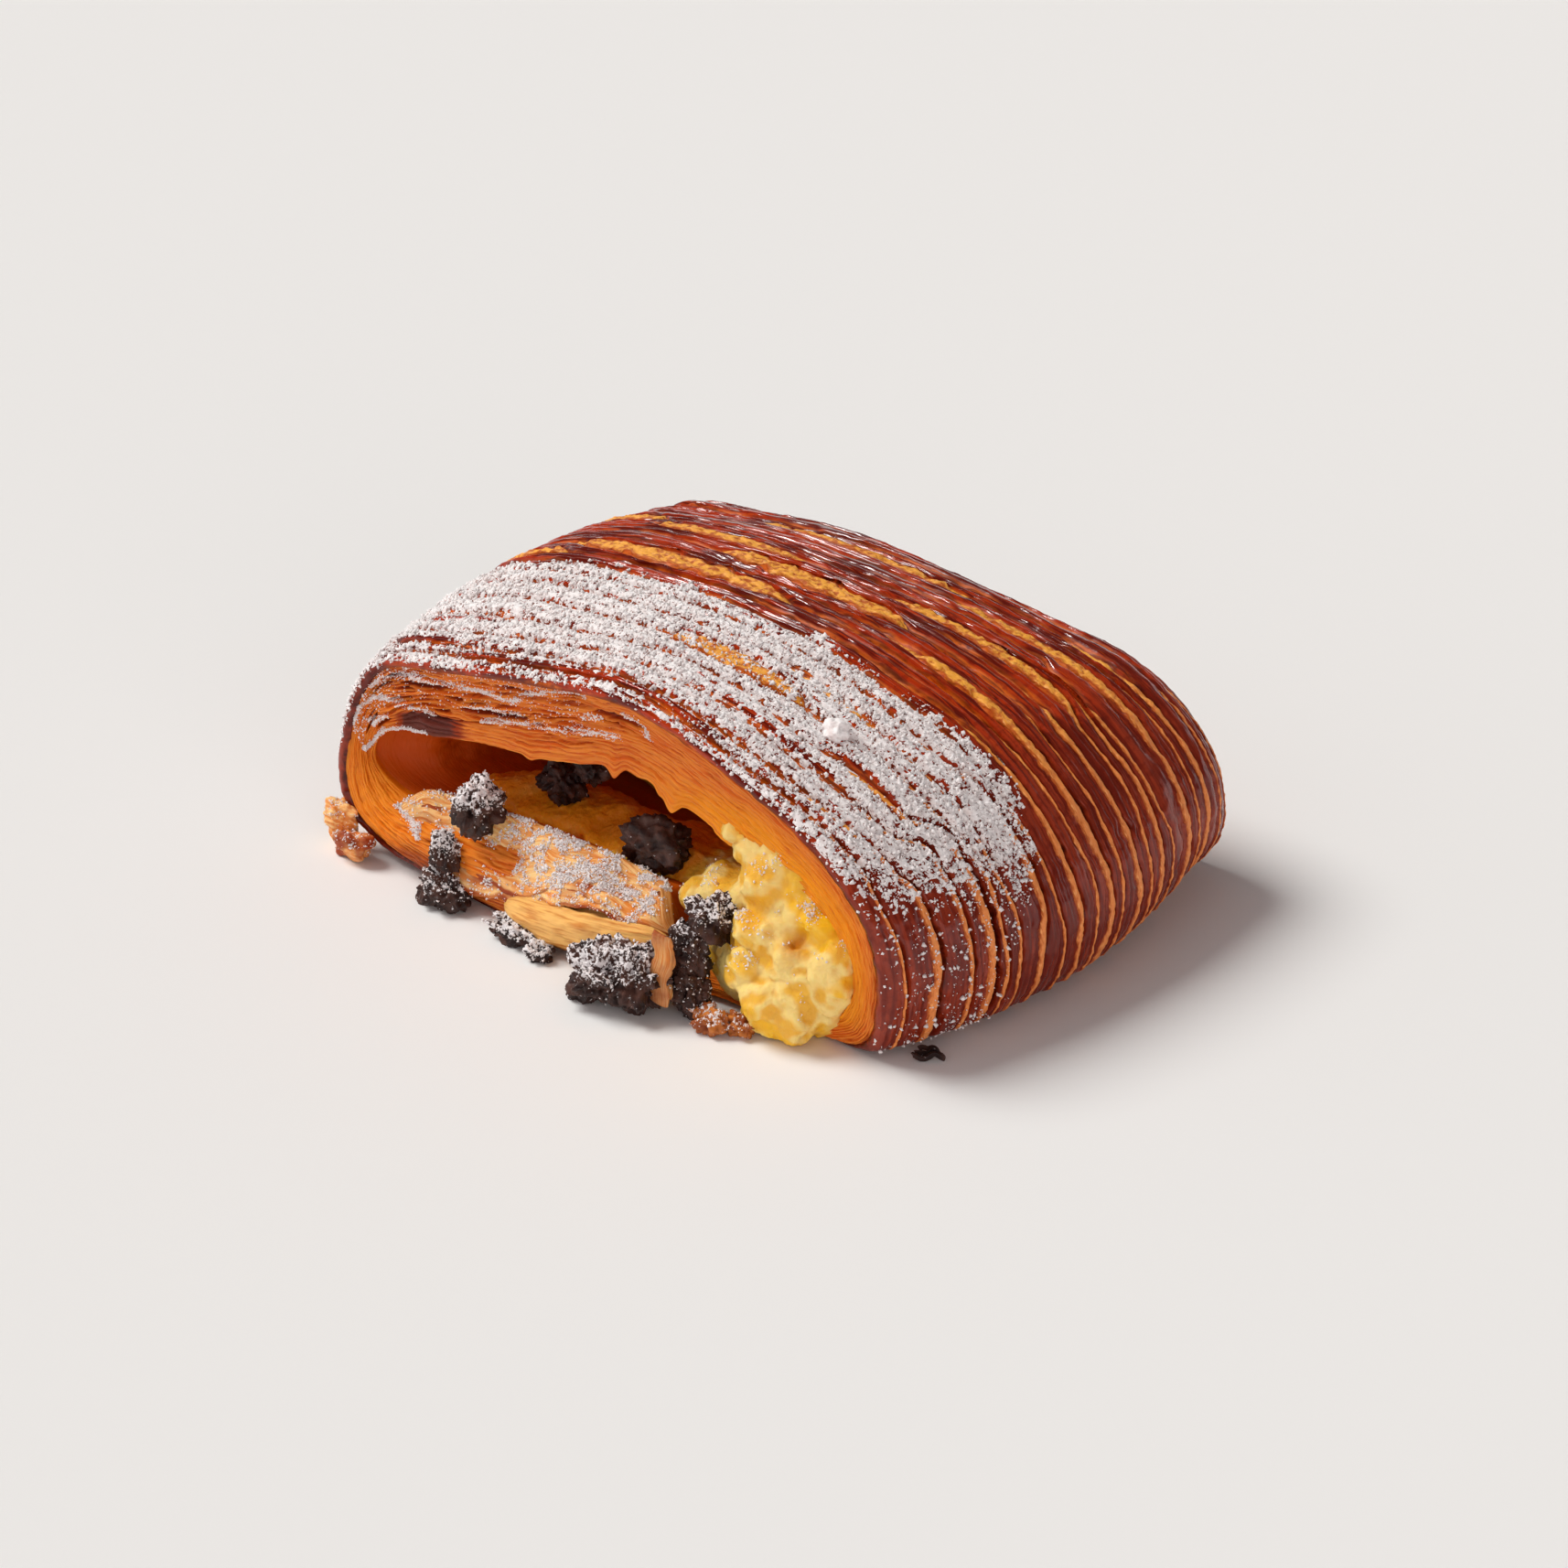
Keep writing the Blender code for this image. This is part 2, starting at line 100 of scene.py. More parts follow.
def openCurve(values, t):
    # cubic through a row of values, t from 0 to 1, its ends drawn straight on
    values = np.array(values, float)
    values = np.concatenate([2 * values[:1] - values[1:2], values, 2 * values[-1:] - values[-2:-1]])
    at = np.clip(t, 0, 1) * (len(values) - 3)
    i = np.minimum(np.floor(at).astype(int), len(values) - 4)
    return cubic(*(values[i + k] for k in range(4)), (at - i)[..., None])


def normalOf(vector):
    # each vector divided by its length
    return vector / np.maximum(np.linalg.norm(vector, axis=-1, keepdims=True), 1e-9)


def keptAbove(points, height):
    # points no lower than height, so that nothing sinks into the floor
    points[..., 2] = np.maximum(points[..., 2], height)
    return points


def nodeBox(name):
    # a frame node's lowest and highest corners in the pastry's millimetres
    return ((np.array(corner) - origin) * 1000 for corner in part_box(name))


def addObject(name, data):
    # an object at the origin that holds data
    thing = bpy.data.objects.new(name, data)
    bpy.context.scene.collection.objects.link(thing)
    return thing


def makeMesh(name, points, faces, material, slot, node=None, marks=None, flow=None, smooth=True):
    # points in the pastry's millimetres; faces: arrays with one row of point numbers a face; node: the
    # solid that the piece stands for; marks, flow: three numbers at each point for the material
    points = points.reshape(-1, 3)
    sizes = np.concatenate([np.full(len(part), part.shape[1]) for part in faces])
    corners = np.concatenate([part.ravel() for part in faces])
    mesh = bpy.data.meshes.new(name)
    mesh.vertices.add(len(points))
    mesh.vertices.foreach_set("co", (points / 1000 + origin).astype(np.float32).ravel())
    mesh.loops.add(len(corners))
    mesh.loops.foreach_set("vertex_index", corners.astype(np.int32))
    mesh.polygons.add(len(sizes))
    mesh.polygons.foreach_set("loop_start", (np.cumsum(sizes) - sizes).astype(np.int32))
    mesh.update(calc_edges=True)
    mesh.polygons.foreach_set("use_smooth", np.full(len(sizes), smooth))
    if marks is not None:
        full = np.concatenate([marks.reshape(-1, 3), np.ones((len(points), 1))], 1)
        layer = mesh.attributes.new("marks", "FLOAT_COLOR", "POINT")
        layer.data.foreach_set("color", full.astype(np.float32).ravel())
    if flow is not None:
        layer = mesh.attributes.new("flow", "FLOAT_VECTOR", "POINT")
        layer.data.foreach_set("vector", flow.astype(np.float32).ravel())
    piece = addObject(name, mesh)
    mesh.materials.append(material)
    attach(piece, "root")
    if node:
        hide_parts(node)
    print(name, int((sizes - 2).sum()), "triangles")


def ringFaces(rows, columns, capped=False):
    # quads of a grid whose rows and columns close on themselves, or, capped, with its end columns closed
    # by a face
    i, j = np.meshgrid(np.arange(rows), np.arange(columns - capped), indexing="ij")
    a, b, k = i * columns, (i + 1) % rows * columns, (j + 1) % columns
    quads = np.stack([a + j, a + k, b + k, b + j], -1).reshape(-1, 4)
    first = np.arange(rows)[None] * columns
    return [quads, first, first[:, ::-1] + columns - 1] if capped else [quads]


def addNode(tree, kind, sockets=None, **settings):
    # a shader node with its settings, and each named socket given a value or joined to another node's
    made = tree.nodes.new(kind)
    for key, value in settings.items():
        setattr(made, key, value)
    for key, value in (sockets or {}).items():
        if isinstance(value, bpy.types.NodeSocket):
            tree.links.new(value, made.inputs[key])
        else:
            made.inputs[key].default_value = value
    return made


def fedBy(kind, sockets, output=0, **settings):
    # a node in the same tree as what feeds it: one of its outputs
    tree = next(value.id_data for value in sockets.values() if isinstance(value, bpy.types.NodeSocket))
    return addNode(tree, kind, sockets, **settings).outputs[output]


def colour(red, green, blue):
    # the linear colour of an sRGB one: ((c + 0.055) / 1.055)^2.4, or c / 12.92 where dark
    parts = (c / 255 for c in (red, green, blue))
    return tuple(((c + 0.055) / 1.055) ** 2.4 if c > 0.04 else c / 12.92 for c in parts) + (1,)


def mixed(share, first, second):
    # first (1 - share) + second share, for colours
    return fedBy("ShaderNodeMix", {0: share, 6: first, 7: second}, 2, data_type="RGBA")


def maths(operation, first, second=0.0, third=0.0, clamp=False):
    return fedBy("ShaderNodeMath", {0: first, 1: second, 2: third}, operation=operation, use_clamp=clamp)


def times(value, by, plus=0.0, clamp=False):
    # value x by + plus
    return maths("MULTIPLY_ADD", value, by, plus, clamp)


def strewn(value, noise, amount):
    # value + amount (noise - 0.5)
    return maths("ADD", value, times(noise, amount, -amount / 2))


def between(value, low, high):
    # 0 at low, 1 at high, smooth between
    return fedBy("ShaderNodeMapRange", {0: value, 1: low, 2: high}, interpolation_type="SMOOTHSTEP")


def grain(place, scale, detail=3.0, stretch=(1, 1, 1), rough=0.5):
    # a noise texture, its pattern squeezed by stretch
    turned = fedBy("ShaderNodeMapping", {"Vector": place, "Scale": stretch})
    return fedBy("ShaderNodeTexNoise", {
        "Vector": turned, "Scale": scale, "Detail": detail, "Roughness": rough})


def bumped(height, strength, distance, under=None):
    # the normal tilted by a height, distance in metres, on top of the bump under it
    sockets = {"Height": height, "Strength": strength, "Distance": distance}
    if under is not None:
        sockets["Normal"] = under
    return fedBy("ShaderNodeBump", sockets)


def newMaterial(name, fixed):
    # an empty Principled material, its fixed values set on the shader's own sockets
    material = bpy.data.materials.new(name)
    material.use_nodes = True
    shader = material.node_tree.nodes["Principled BSDF"]
    for key, value in fixed.items():
        shader.inputs[key].default_value = value
    return material, material.node_tree, shader


def joinShader(shader, skin, normal=None, rough=None):
    # a surface's colour, bump and roughness, joined to its shader
    for key, value in (("Base Color", skin), ("Normal", normal), ("Roughness", rough)):
        if value is not None:
            shader.id_data.links.new(value, shader.inputs[key])


def readMarks(tree):
    # the three numbers of marks
    made = addNode(tree, "ShaderNodeAttribute", attribute_name="marks")
    return addNode(tree, "ShaderNodeSeparateColor", {0: made.outputs["Color"]}).outputs[:]


def readFlow(tree):
    return addNode(tree, "ShaderNodeAttribute", attribute_name="flow").outputs["Vector"]


def readPlace(tree):
    return addNode(tree, "ShaderNodeTexCoord").outputs["Object"]


# the sleeve's outline, which every part of the dough follows
sleeve = {
    "front": -37.8,             # plane of the open end, mm
    "straight": 71.3,           # length before the back end turns in
    "backRound": 11.4,          # radius of that turn, high up
    "baseRound": 3.6,           # and at the foot
    "rimRound": 1.5,            # radius of the front rim
    "lipLength": 9.0,           # how far back the front edge's wave reaches
    "core": (2.8, 17.0),        # x, z that the back end closes towards
}
# outlines seen from the front: x, z from bottom middle, left, over the top, right
frontOutline = [(0, 0), (-29, 0), (-47.5, 2.7), (-56, 8.3), (-56, 20.2), (-48.7, 33.1), (-34, 37.5),
                (-15.7, 41.8), (3.8, 44.5), (21.7, 40.5), (38.9, 33.3), (50.7, 23.2), (53.2, 11.8),
                (49.2, 1.4), (35, 0)]
middleOutline = [(0, 0), (-29.8, 0), (-46.7, 1.9), (-55.9, 9.5), (-58.7, 21.2), (-54.4, 35.2), (-39.5, 43),
                 (-17.7, 45.9), (4, 45.9), (24.2, 43.2), (42.9, 36.3), (56.3, 24.5), (61.4, 12), (56, 0.6),
                 (38.6, 0)]
backOutline = [(0, 0), (-26.9, 0), (-43.2, 2), (-52.9, 9.4), (-56.6, 20.8), (-52.7, 33.6), (-38.8, 36.6),
               (-17.8, 39.3), (4.1, 38.8), (24.7, 36.3), (42.3, 32.9), (55.1, 23.4), (58, 13.3),
               (52.9, 4.3), (37.2, 0)]
# how far the rim lies behind the mouth's plane at each of those points, mm
frontEdge = [-2.3, -0.8, 0, 0.3, 0.6, 0.9, 0.6, 0, 0, 0, 0, 0, 0.3, 1.4, 2.4]
crustLength = sleeve["straight"] + sleeve["backRound"] * math.pi / 2
girth = 290.0                   # mm round the sleeve, by which patterns along it are measured
faceWidth = 9.0                 # mm across the open end's layered face
mouthMiddle = [0, 0, 17]        # the point in the open end that its edges face away from


def sleevePoints(behind, u):
    # x, z: F 2(s-.5)(s-1) + M 4s(1-s) + B 2s(s-.5) with s = behind / straight, then drawn in by a quarter
    # circle of the back radius and by the rim's; y: front + behind, then front + straight + radius
    # sin(turn)
    share = np.clip(behind / sleeve["straight"], 0, 1)[..., None]
    front, middle, back = (closedCurve(line, u)[None] for line in (frontOutline, middleOutline, backOutline))
    outline = front * 2 * (share - 0.5) * (share - 1) + middle * 4 * share * (1 - share)
    outline = outline + back * 2 * share * (share - 0.5)
    turn = np.clip((behind - sleeve["straight"]) / (crustLength - sleeve["straight"]), 0, 1) * math.pi / 2
    low = smoothStep((outline[..., 1] - 3) / 17)
    inward = (sleeve["baseRound"] + (sleeve["backRound"] - sleeve["baseRound"]) * low) * (1 - np.cos(turn))
    inward += sleeve["rimRound"] * (1 - np.sqrt(1 - np.clip(1 - behind / sleeve["rimRound"], 0, 1) ** 2))
    spoke = outline - sleeve["core"]
    length = np.linalg.norm(spoke, axis=-1)
    outline = outline - spoke * (np.minimum(inward, 0.8 * length) / length)[..., None]
    y = sleeve["front"] + np.minimum(behind, sleeve["straight"]) + sleeve["backRound"] * np.sin(turn)
    y = y + closedCurve(frontEdge, u)[None] * np.clip(1 - behind / sleeve["lipLength"], 0, 1) ** 2
    return np.stack([outline[..., 0], y, np.maximum(outline[..., 1], 0)], -1)


def sleeveNormals(behind, u):
    # (point a little further round - point) x (point a little further back - point)
    here = sleevePoints(behind, u)
    normal = np.cross(sleevePoints(behind, u + 0.0004) - here, sleevePoints(behind + 0.2, u) - here)
    normal[here[..., 2] <= 0.001] = (0, 0, -1)
    return normalOf(normal)


# the crust: strips of dough, the seams between them and the gaps where they tore
crustLook = {
    "ridge": 1.15,              # height of a strip's crown, mm
    "fineRidge": 0.6,           # depth of the finer grooves along it
    "grooveDepth": 0.5,
    "wander": 0.7,              # how far a seam strays, mm
    "thickness": 1.1,
    "columns": 376,
    "underColumns": 40,
    "rowStep": 0.22,            # mm between rows over a strip
    "seamStep": 0.42,           # and over a seam
    "pieceStrips": (7, 14),     # the strips that start the middle and back pieces
    "dark": colour(98, 16, 2),
    "brown": colour(174, 48, 4),
    "russet": colour(198, 80, 16),
    # the flank's red-brown, partly a painted mauve reflection of the floor
    "mauveSheenDark": colour(112, 30, 13),
    "mauveSheen": colour(151, 54, 30),
    "amber": colour(220, 104, 16),
    "gold": colour(255, 178, 62),
    "goldShade": colour(190, 88, 12),
    "tan": colour(255, 184, 112),
    "seam": colour(240, 145, 76),
    "seamShade": colour(186, 84, 26),
    # the next two: painted shade at the strips' edges, behind the side seams and in the side grooves; the
    # second also darkens the foot
    "seamEdgeShade": colour(112, 22, 3),
    "edgeShadeAndFoot": colour(70, 16, 5),
}
# where each strip ends: mm behind the rim on the right side and over the top, and its open edge's width
# at the side
seams = [(3.4, 2.2, 0.4), (8.8, 4.6, 1.0), (14.7, 8.4, 0.6), (18.2, 12.9, 1.2), (21.1, 18.2, 0.5),
         (23.6, 23.1, 0.5), (28.5, 27.3, 1.0), (32.4, 31.4, 0.5), (36.3, 35.2, 0.8), (40, 39.3, 0.4),
         (42.9, 43, 1.2), (45.7, 48, 0.4), (50.1, 51.6, 1.0), (53.8, 54.8, 0.5), (56.5, 58.6, 0.8),
         (60, 62, 0.4), (65, 65.6, 1.1), (69, 70, 0.4), (72, 73.6, 0.9), (75.5, 77, 0.5), (80, 81, 0.6),
         (84.5, 85, 0.5)]
# gaps where the strips tore open: place round the section, mm behind the rim, half length, width
tears = [(0.757, 9, 0.045, 1.8), (0.742, 14.8, 0.05, 1.4), (0.556, 18.2, 0.045, 4),
         (0.742, 18.7, 0.055, 1.7), (0.606, 23.1, 0.04, 1.2), (0.73, 29.1, 0.055, 1.3),
         (0.359, 35.5, 0.04, 3.4), (0.725, 35.9, 0.06, 1.2), (0.46, 39.3, 0.07, 4.4),
         (0.67, 42.7, 0.095, 2.5), (0.521, 48.4, 0.06, 4.8), (0.723, 50.2, 0.06, 1.4),
         (0.45, 54.1, 0.05, 3.4), (0.612, 55.9, 0.07, 2.9), (0.365, 58.5, 0.04, 4.4), (0.7, 59, 0.07, 1.1),
         (0.635, 65.5, 0.08, 2.9), (0.49, 70, 0.08, 2.4), (0.7, 71.8, 0.085, 1.5), (0.3, 66, 0.06, 2.2),
         (0.27, 45, 0.05, 1.8), (0.28, 26, 0.05, 1.6)]


def crustColumns():
    # even steps round the section, but few of them on the flat underside, u 0.87 to 1 and 0 to 0.13
    under, edge = crustLook["underColumns"], 0.13
    seen = np.linspace(edge, 1 - edge, crustLook["columns"] - under, endpoint=False)
    return np.concatenate([np.linspace(-edge, edge, under, endpoint=False), seen])


def seamPlaces(u):
    # each seam's place over the top blends into its place at the sides by smoothStep((|u - .5| - .12) /
    # .14), plus noise; its width likewise, or a gap's width 1.25 g (1 - d^2)^0.75 where it tore open
    side = smoothStep((np.abs(u - 0.5) - 0.12) / 0.14)[None]
    table = np.array(seams)
    number = np.arange(len(seams))[:, None]
    drift = spotNoise(stacked(u * 26, number * 3.7, 0), 3)
    centre = table[:, 1:2] * (1 - side) + table[:, 0:1] * side + crustLook["wander"] * drift
    width = 0.7 + (2.4 * table[:, 2:3] - 0.7) * side
    for place, behind, half, gap in tears:
        reach = np.clip(1 - ((u - place) / half) ** 2, 0, 1) ** 0.75
        at = int(np.argmin(np.abs(centre[:, np.abs(u - place).argmin()] - behind)))
        centre[at] += (behind - centre[at]) * smoothStep(reach * 1.6)
        width[at] = np.maximum(width[at], width[at] * (1 - reach) + 1.25 * gap * reach)
    return centre, width * (1 + 0.35 * spotNoise(stacked(u * 120, number * 5.1, 0), 5))


def crustRows(u):
    # rows from the rim to the back end, for each strip and then each seam: where a row lies, its share t
    # across, closer together near a strip's edges by 0.5 - 0.5 cos pi t, the strip's number, and a seam's
    # width
    centre, width = seamPlaces(u)
    edges = np.stack([centre - width / 2, centre + width / 2], 1).reshape(-1, len(u))
    edges = np.concatenate([np.zeros((1, len(u))), edges, np.full((1, len(u)), crustLength)])
    edges = np.maximum.accumulate(edges + 0.02 * np.arange(len(edges))[:, None], axis=0)
    edges *= crustLength / edges[-1]
    behind, share, strip, opened = [], [], [], []
    for k, span in enumerate(np.diff(edges, axis=0)):
        onStrip = k % 2 == 0
        step, closer = (crustLook["rowStep"], 0.8) if onStrip else (crustLook["seamStep"], 1)
        count = int(np.clip(np.ceil(span[u > 0.2].max() / step * closer), 6, 26))
        t = (np.arange(count) + 0.5)[:, None] / count
        t = 0.65 * t + 0.35 * (0.5 - 0.5 * np.cos(math.pi * t) if onStrip else t)
        behind.append(edges[k] + span * t)
        share.append(t + 0 * span)
        strip.append(np.full(count, k // 2))
        opened.append(0 * t + (0 * span if onStrip else np.maximum(span, 0.05)))
    return (np.concatenate(rows) for rows in (behind, share, strip, opened))


def crustRelief(behind, share, strip, opened, u, smooth, side):
    # strip: flat crown, ridge (1 - |2t-1|^4.5), kept high at its back edge on the sides, less fine
    # grooves (1 - |sin pi (n t + wobble)|)^2.2; seam: on the sides it stands as high as the crown, then
    # drops into a groove, over the top it is a trough -depth (sin pi t)^0.45, or where it gapes a floor
    # puffed up to 0.85 ridge, pitted
    number = strip[:, None]
    lines = np.round(2.1 + 0.7 * np.sin(number * 1.9) + 0.5 * np.sin(number * 4.3))
    along = stacked(u * 38, number * 2.3, 0)
    wobble = 0.4 * spotNoise(along, 11)
    fade = 0.55 + 0.45 * spotNoise(along * 1.7 + 9, 12)
    edge = np.minimum(share, 1 - share)
    t = np.clip(share + 0.06 * spotNoise(stacked(u * 150, number * 3.1 + share, 0), 13) * (opened == 0), 0, 1)
    kept = np.where(t > 0.5, 1 - 0.8 * side, 1)
    crown = crustLook["ridge"] * (1 - kept * np.abs(2 * t - 1) ** 4.5)
    crown = crown * (0.85 + 0.15 * spotNoise(along * 0.6 + 3, 14))
    valley = (1 - np.abs(np.sin(math.pi * (lines * share + wobble)))) ** 2.2
    valley = valley * (0.4 + fade) * np.clip(edge * 7, 0, 1) * (opened == 0) * (1 - 0.65 * side)
    gape = np.clip((opened - 0.4) / 2.2, 0, 1)
    pits = cloudNoise(smooth * [1.2, 2.6, 1.6], 21)
    trough = -crustLook["grooveDepth"] * (1 - gape) * np.sin(math.pi * share) ** 0.45
    trough = trough + gape * (0.85 * crustLook["ridge"] * smoothStep(edge / 0.2) + 0.3 * pits)
    shingle = crustLook["ridge"] * (0.85 + 0.15 * np.sin(3 * share)) * (1 - smoothStep((share - 0.66) / 0.14))
    shingle = shingle - 0.8 * smoothStep((share - 0.7) / 0.1) * smoothStep((1.1 - share) / 0.15) + 0.12 * pits
    seam = trough * (1 - side) + shingle * side
    relief = np.where(opened > 0, seam, crown - crustLook["fineRidge"] * valley)
    bumps = stacked(u * 200, behind * 1.1, 0)
    skin = 0.09 * cloudNoise(smooth * 0.55, 23) + 0.06 * spotNoise(bumps, 29)
    skin = skin + 0.02 * spotNoise(bumps * 2.3, 30)
    return (relief + skin) * smoothStep((smooth[..., 2] - 0.15) / 2.6), valley


def crustMarks(share, strip, opened, u, smooth, side, valley):
    # bare crumb in the seams; painted shade along the strips' edges, behind the side seams and in the side
    # grooves, darker towards the foot; pale slopes and grooves over the top; every border is a smoothStep,
    # strayed by noise
    gape = np.clip((opened - 0.35) / 0.9, 0, 1)
    jag = (0.07 - 0.04 * side) * cloudNoise(stacked(u * 150, strip[:, None], 0), 33, 2)
    edge = np.minimum(share, 1 - share)
    bare = side * smoothStep((share + 0.2 + jag) / 0.7) * smoothStep((0.86 + jag - share) / 0.1)
    bare = bare + (1 - side) * gape * smoothStep((edge + 0.04 + jag) / 0.36)
    seamEdgeShade = side * smoothStep((share - 0.8 + jag) / 0.1)
    seamEdgeShade = seamEdgeShade + (1 - side) * smoothStep((0.05 - edge + jag) / 0.08) * gape
    ribEdgeShade = side * smoothStep((0.09 - share + jag) / 0.08)
    ribEdgeShade = ribEdgeShade + (1 - side) * smoothStep((0.07 - edge + jag) / 0.05) * 0.7
    foot = smoothStep((4.5 - smooth[..., 2] + 2 * cloudNoise(smooth * 0.35, 31)) / 5)
    # painted shade at the edges and in the side grooves, plus darker towards the foot
    dark = np.clip(np.where(opened > 0, seamEdgeShade, ribEdgeShade) + 0.7 * valley * side + 0.55 * foot, 0, 1)
    slope = np.where(opened > 0, 0.9, smoothStep((0.22 - edge) / 0.2) * 0.6)
    pale = np.clip((valley + slope) * (1 - side), 0, 1)
    return stacked(np.clip(np.where(opened > 0, bare, 0), 0, 1), dark, pale)


def buildCrust(material):
    # sleeve + normal x relief, closed by a plain inner skin, in three pieces from front to back
    u = crustColumns()
    behind, share, strip, opened = crustRows(u)
    smooth, normal = sleevePoints(behind, u), sleeveNormals(behind, u)
    side = smoothStep((np.abs(u - 0.5) - 0.13) / 0.1)
    relief, valley = crustRelief(behind, share, strip, opened, u, smooth, side)
    outer = keptAbove(smooth + normal * relief[..., None], 0.02)
    marks = crustMarks(share, strip, opened, u, smooth, side, valley)
    flow = stacked(u * girth, behind, strip[:, None])
    cuts = [int(np.argmax(strip >= number)) for number in crustLook["pieceStrips"]]
    names, firsts, lasts = ("front", "middle", "back"), [0] + [cut - 1 for cut in cuts], cuts + [len(behind)]
    for name, first, last in zip(names, firsts, lasts):
        inward = np.linspace(last - 1, first, 12).astype(int)
        inner = keptAbove(smooth[inward] - normal[inward] * crustLook["thickness"], 0.6)
        grid = np.concatenate([outer[first:last], inner])
        details = (np.concatenate([values[first:last], values[inward]]) for values in (marks, flow))
        makeMesh("crust_" + name, grid, ringFaces(*grid.shape[:2]), material, "crust", "dough", *details)
    return u, outer, normal, behind, relief


def crustMaterial():
    # flow runs along the strips, so noise squeezed along it gives the baked streaks; marks: bare, painted
    # shade (with the darker foot), pale
    material, tree, shader = newMaterial("glazed_crust", {"IOR": 1.5, "Specular IOR Level": 0.34})
    look = crustLook
    bare, dark, pale = readMarks(tree)
    flow, place = readFlow(tree), readPlace(tree)
    streaks = grain(flow, 1.0, 4, (0.05, 1.6, 1))
    threads = grain(flow, 1.0, 4, (0.12, 4.5, 1))
    fine = grain(flow, 1.0, 5, (0.7, 3.2, 1))
    pores = grain(place, 900, 4)
    around = fedBy("ShaderNodeSeparateXYZ", {0: flow})
    # mm round from the top's middle
    side = between(maths("ABSOLUTE", maths("SUBTRACT", around, girth / 2)), 36, 66)
    heat = maths("ADD", streaks, times(grain(place, 90, 3), 0.7))
    top = mixed(between(heat, 0.79, 0.92), look["dark"], look["brown"])
    top = mixed(times(between(threads, 0.56, 0.65), 0.5), top, look["russet"])
    # the flank's colour holds a painted mauve reflection of the floor
    skin = mixed(side, top, mixed(between(heat, 0.7, 1.0), look["mauveSheenDark"], look["mauveSheen"]))
    skin = mixed(times(between(pores, 0.5, 0.62), 0.36), skin, look["dark"])
    skin = mixed(times(between(pale, 0.3, 0.95), between(fine, 0.25, 0.55), clamp=True), skin, look["amber"])
    # painted shade at the edges and in the grooves, and the darker foot
    skin = mixed(times(dark, between(fine, 0.25, 0.6), clamp=True), skin, look["edgeShadeAndFoot"])
    ripe = between(strewn(bare, fine, 1.2), 0.5, 0.95)
    crumb = mixed(times(between(pores, 0.34, 0.56), ripe), look["goldShade"], look["gold"])
    crumb = mixed(side, crumb, mixed(ripe, look["seamShade"], look["seam"]))
    crumb = mixed(times(ripe, between(fine, 0.56, 0.72)), crumb, look["tan"])
    # painted shade at the seams' edges
    crumb = mixed(times(dark, 0.8), crumb, look["seamEdgeShade"])
    shown = between(strewn(bare, fine, 0.6), 0.3, 0.5)
    gloss = times(between(pale, 0.1, 0.7), 0.4, times(grain(place, 260, 3), 0.16, 0.04))
    rough = fedBy("ShaderNodeMix", {0: shown, 2: gloss, 3: 0.6}, data_type="FLOAT")
    coarse = bumped(threads, 0.06, 0.0003, bumped(streaks, 0.08, 0.0004))
    pitted = bumped(times(pores, shown), 0.7, 0.0005, coarse)
    joinShader(shader, mixed(shown, skin, crumb), bumped(grain(place, 1500, 3), 0.14, 0.0002, pitted), rough)
    return material


crustRound, crustOuter, crustNormal, crustBehind, crustHeight = buildCrust(crustMaterial())
print("crust done")


# the layered dough of the open end
mouthLook = {
    "columns": 760,
    "rows": 118,
    "layers": 17,               # sheets of dough seen across the face
    "layerRelief": 0.4,         # mm, from a sheet's edge to the groove beside it
    "layerStep": 0.34,          # how far one sheet stands before its neighbour, mm
    "ragged": 0.35,             # how torn the inner edge is, mm
    "orange": colour(214, 96, 14),
    # light: partly a painted highlight on raised sheet edges; rust and plum: partly painted shade in the
    # grooves and openings
    "light": colour(231, 132, 44),
    "rust": colour(160, 54, 8),
    "plum": colour(98, 40, 32),
    "yolk": colour(243, 150, 16),
    "cave": colour(196, 78, 6),
}
# inner edge of the mouth at each outline point: x, z, how far behind the plane
mouthEdge = [(0, 14.2, 3.2), (-17, 13.9, 3.2), (-32, 12.6, 3), (-44, 11.5, 2.6), (-51, 16, 2.2),
             (-47.5, 22, 2.6), (-33, 24.8, 3), (-17, 27.2, 3.4), (0, 30.6, 3.4), (14, 27.8, 3.4),
             (26, 24.4, 3.2), (39, 20, 2.8), (45, 12.5, 2.5), (41, 7, 2.5), (24, 13, 3)]
# how far the face between rim and edge bows: along y, along z
faceBow = [(-7, -1), (-8, -1), (-7.5, -1), (-3.5, -0.5), (-1.2, 0), (-0.8, 0), (0.6, 0), (0.9, 0.4),
           (0.9, 0.6), (0.8, 0.6), (0.4, 0.5), (-0.4, 0.3), (-1.6, 0), (-2.6, 0), (-5, -1)]
# tags torn from the inner edge: place round the section, width round it, drop in mm
edgeTags = [(0.461, 0.006, 0.9), (0.5, 0.02, 0.6), (0.526, 0.0055, 2.0), (0.545, 0.008, 0.5),
            (0.578, 0.008, 2.6), (0.566, 0.004, 0.8), (0.64, 0.012, 0.4)]
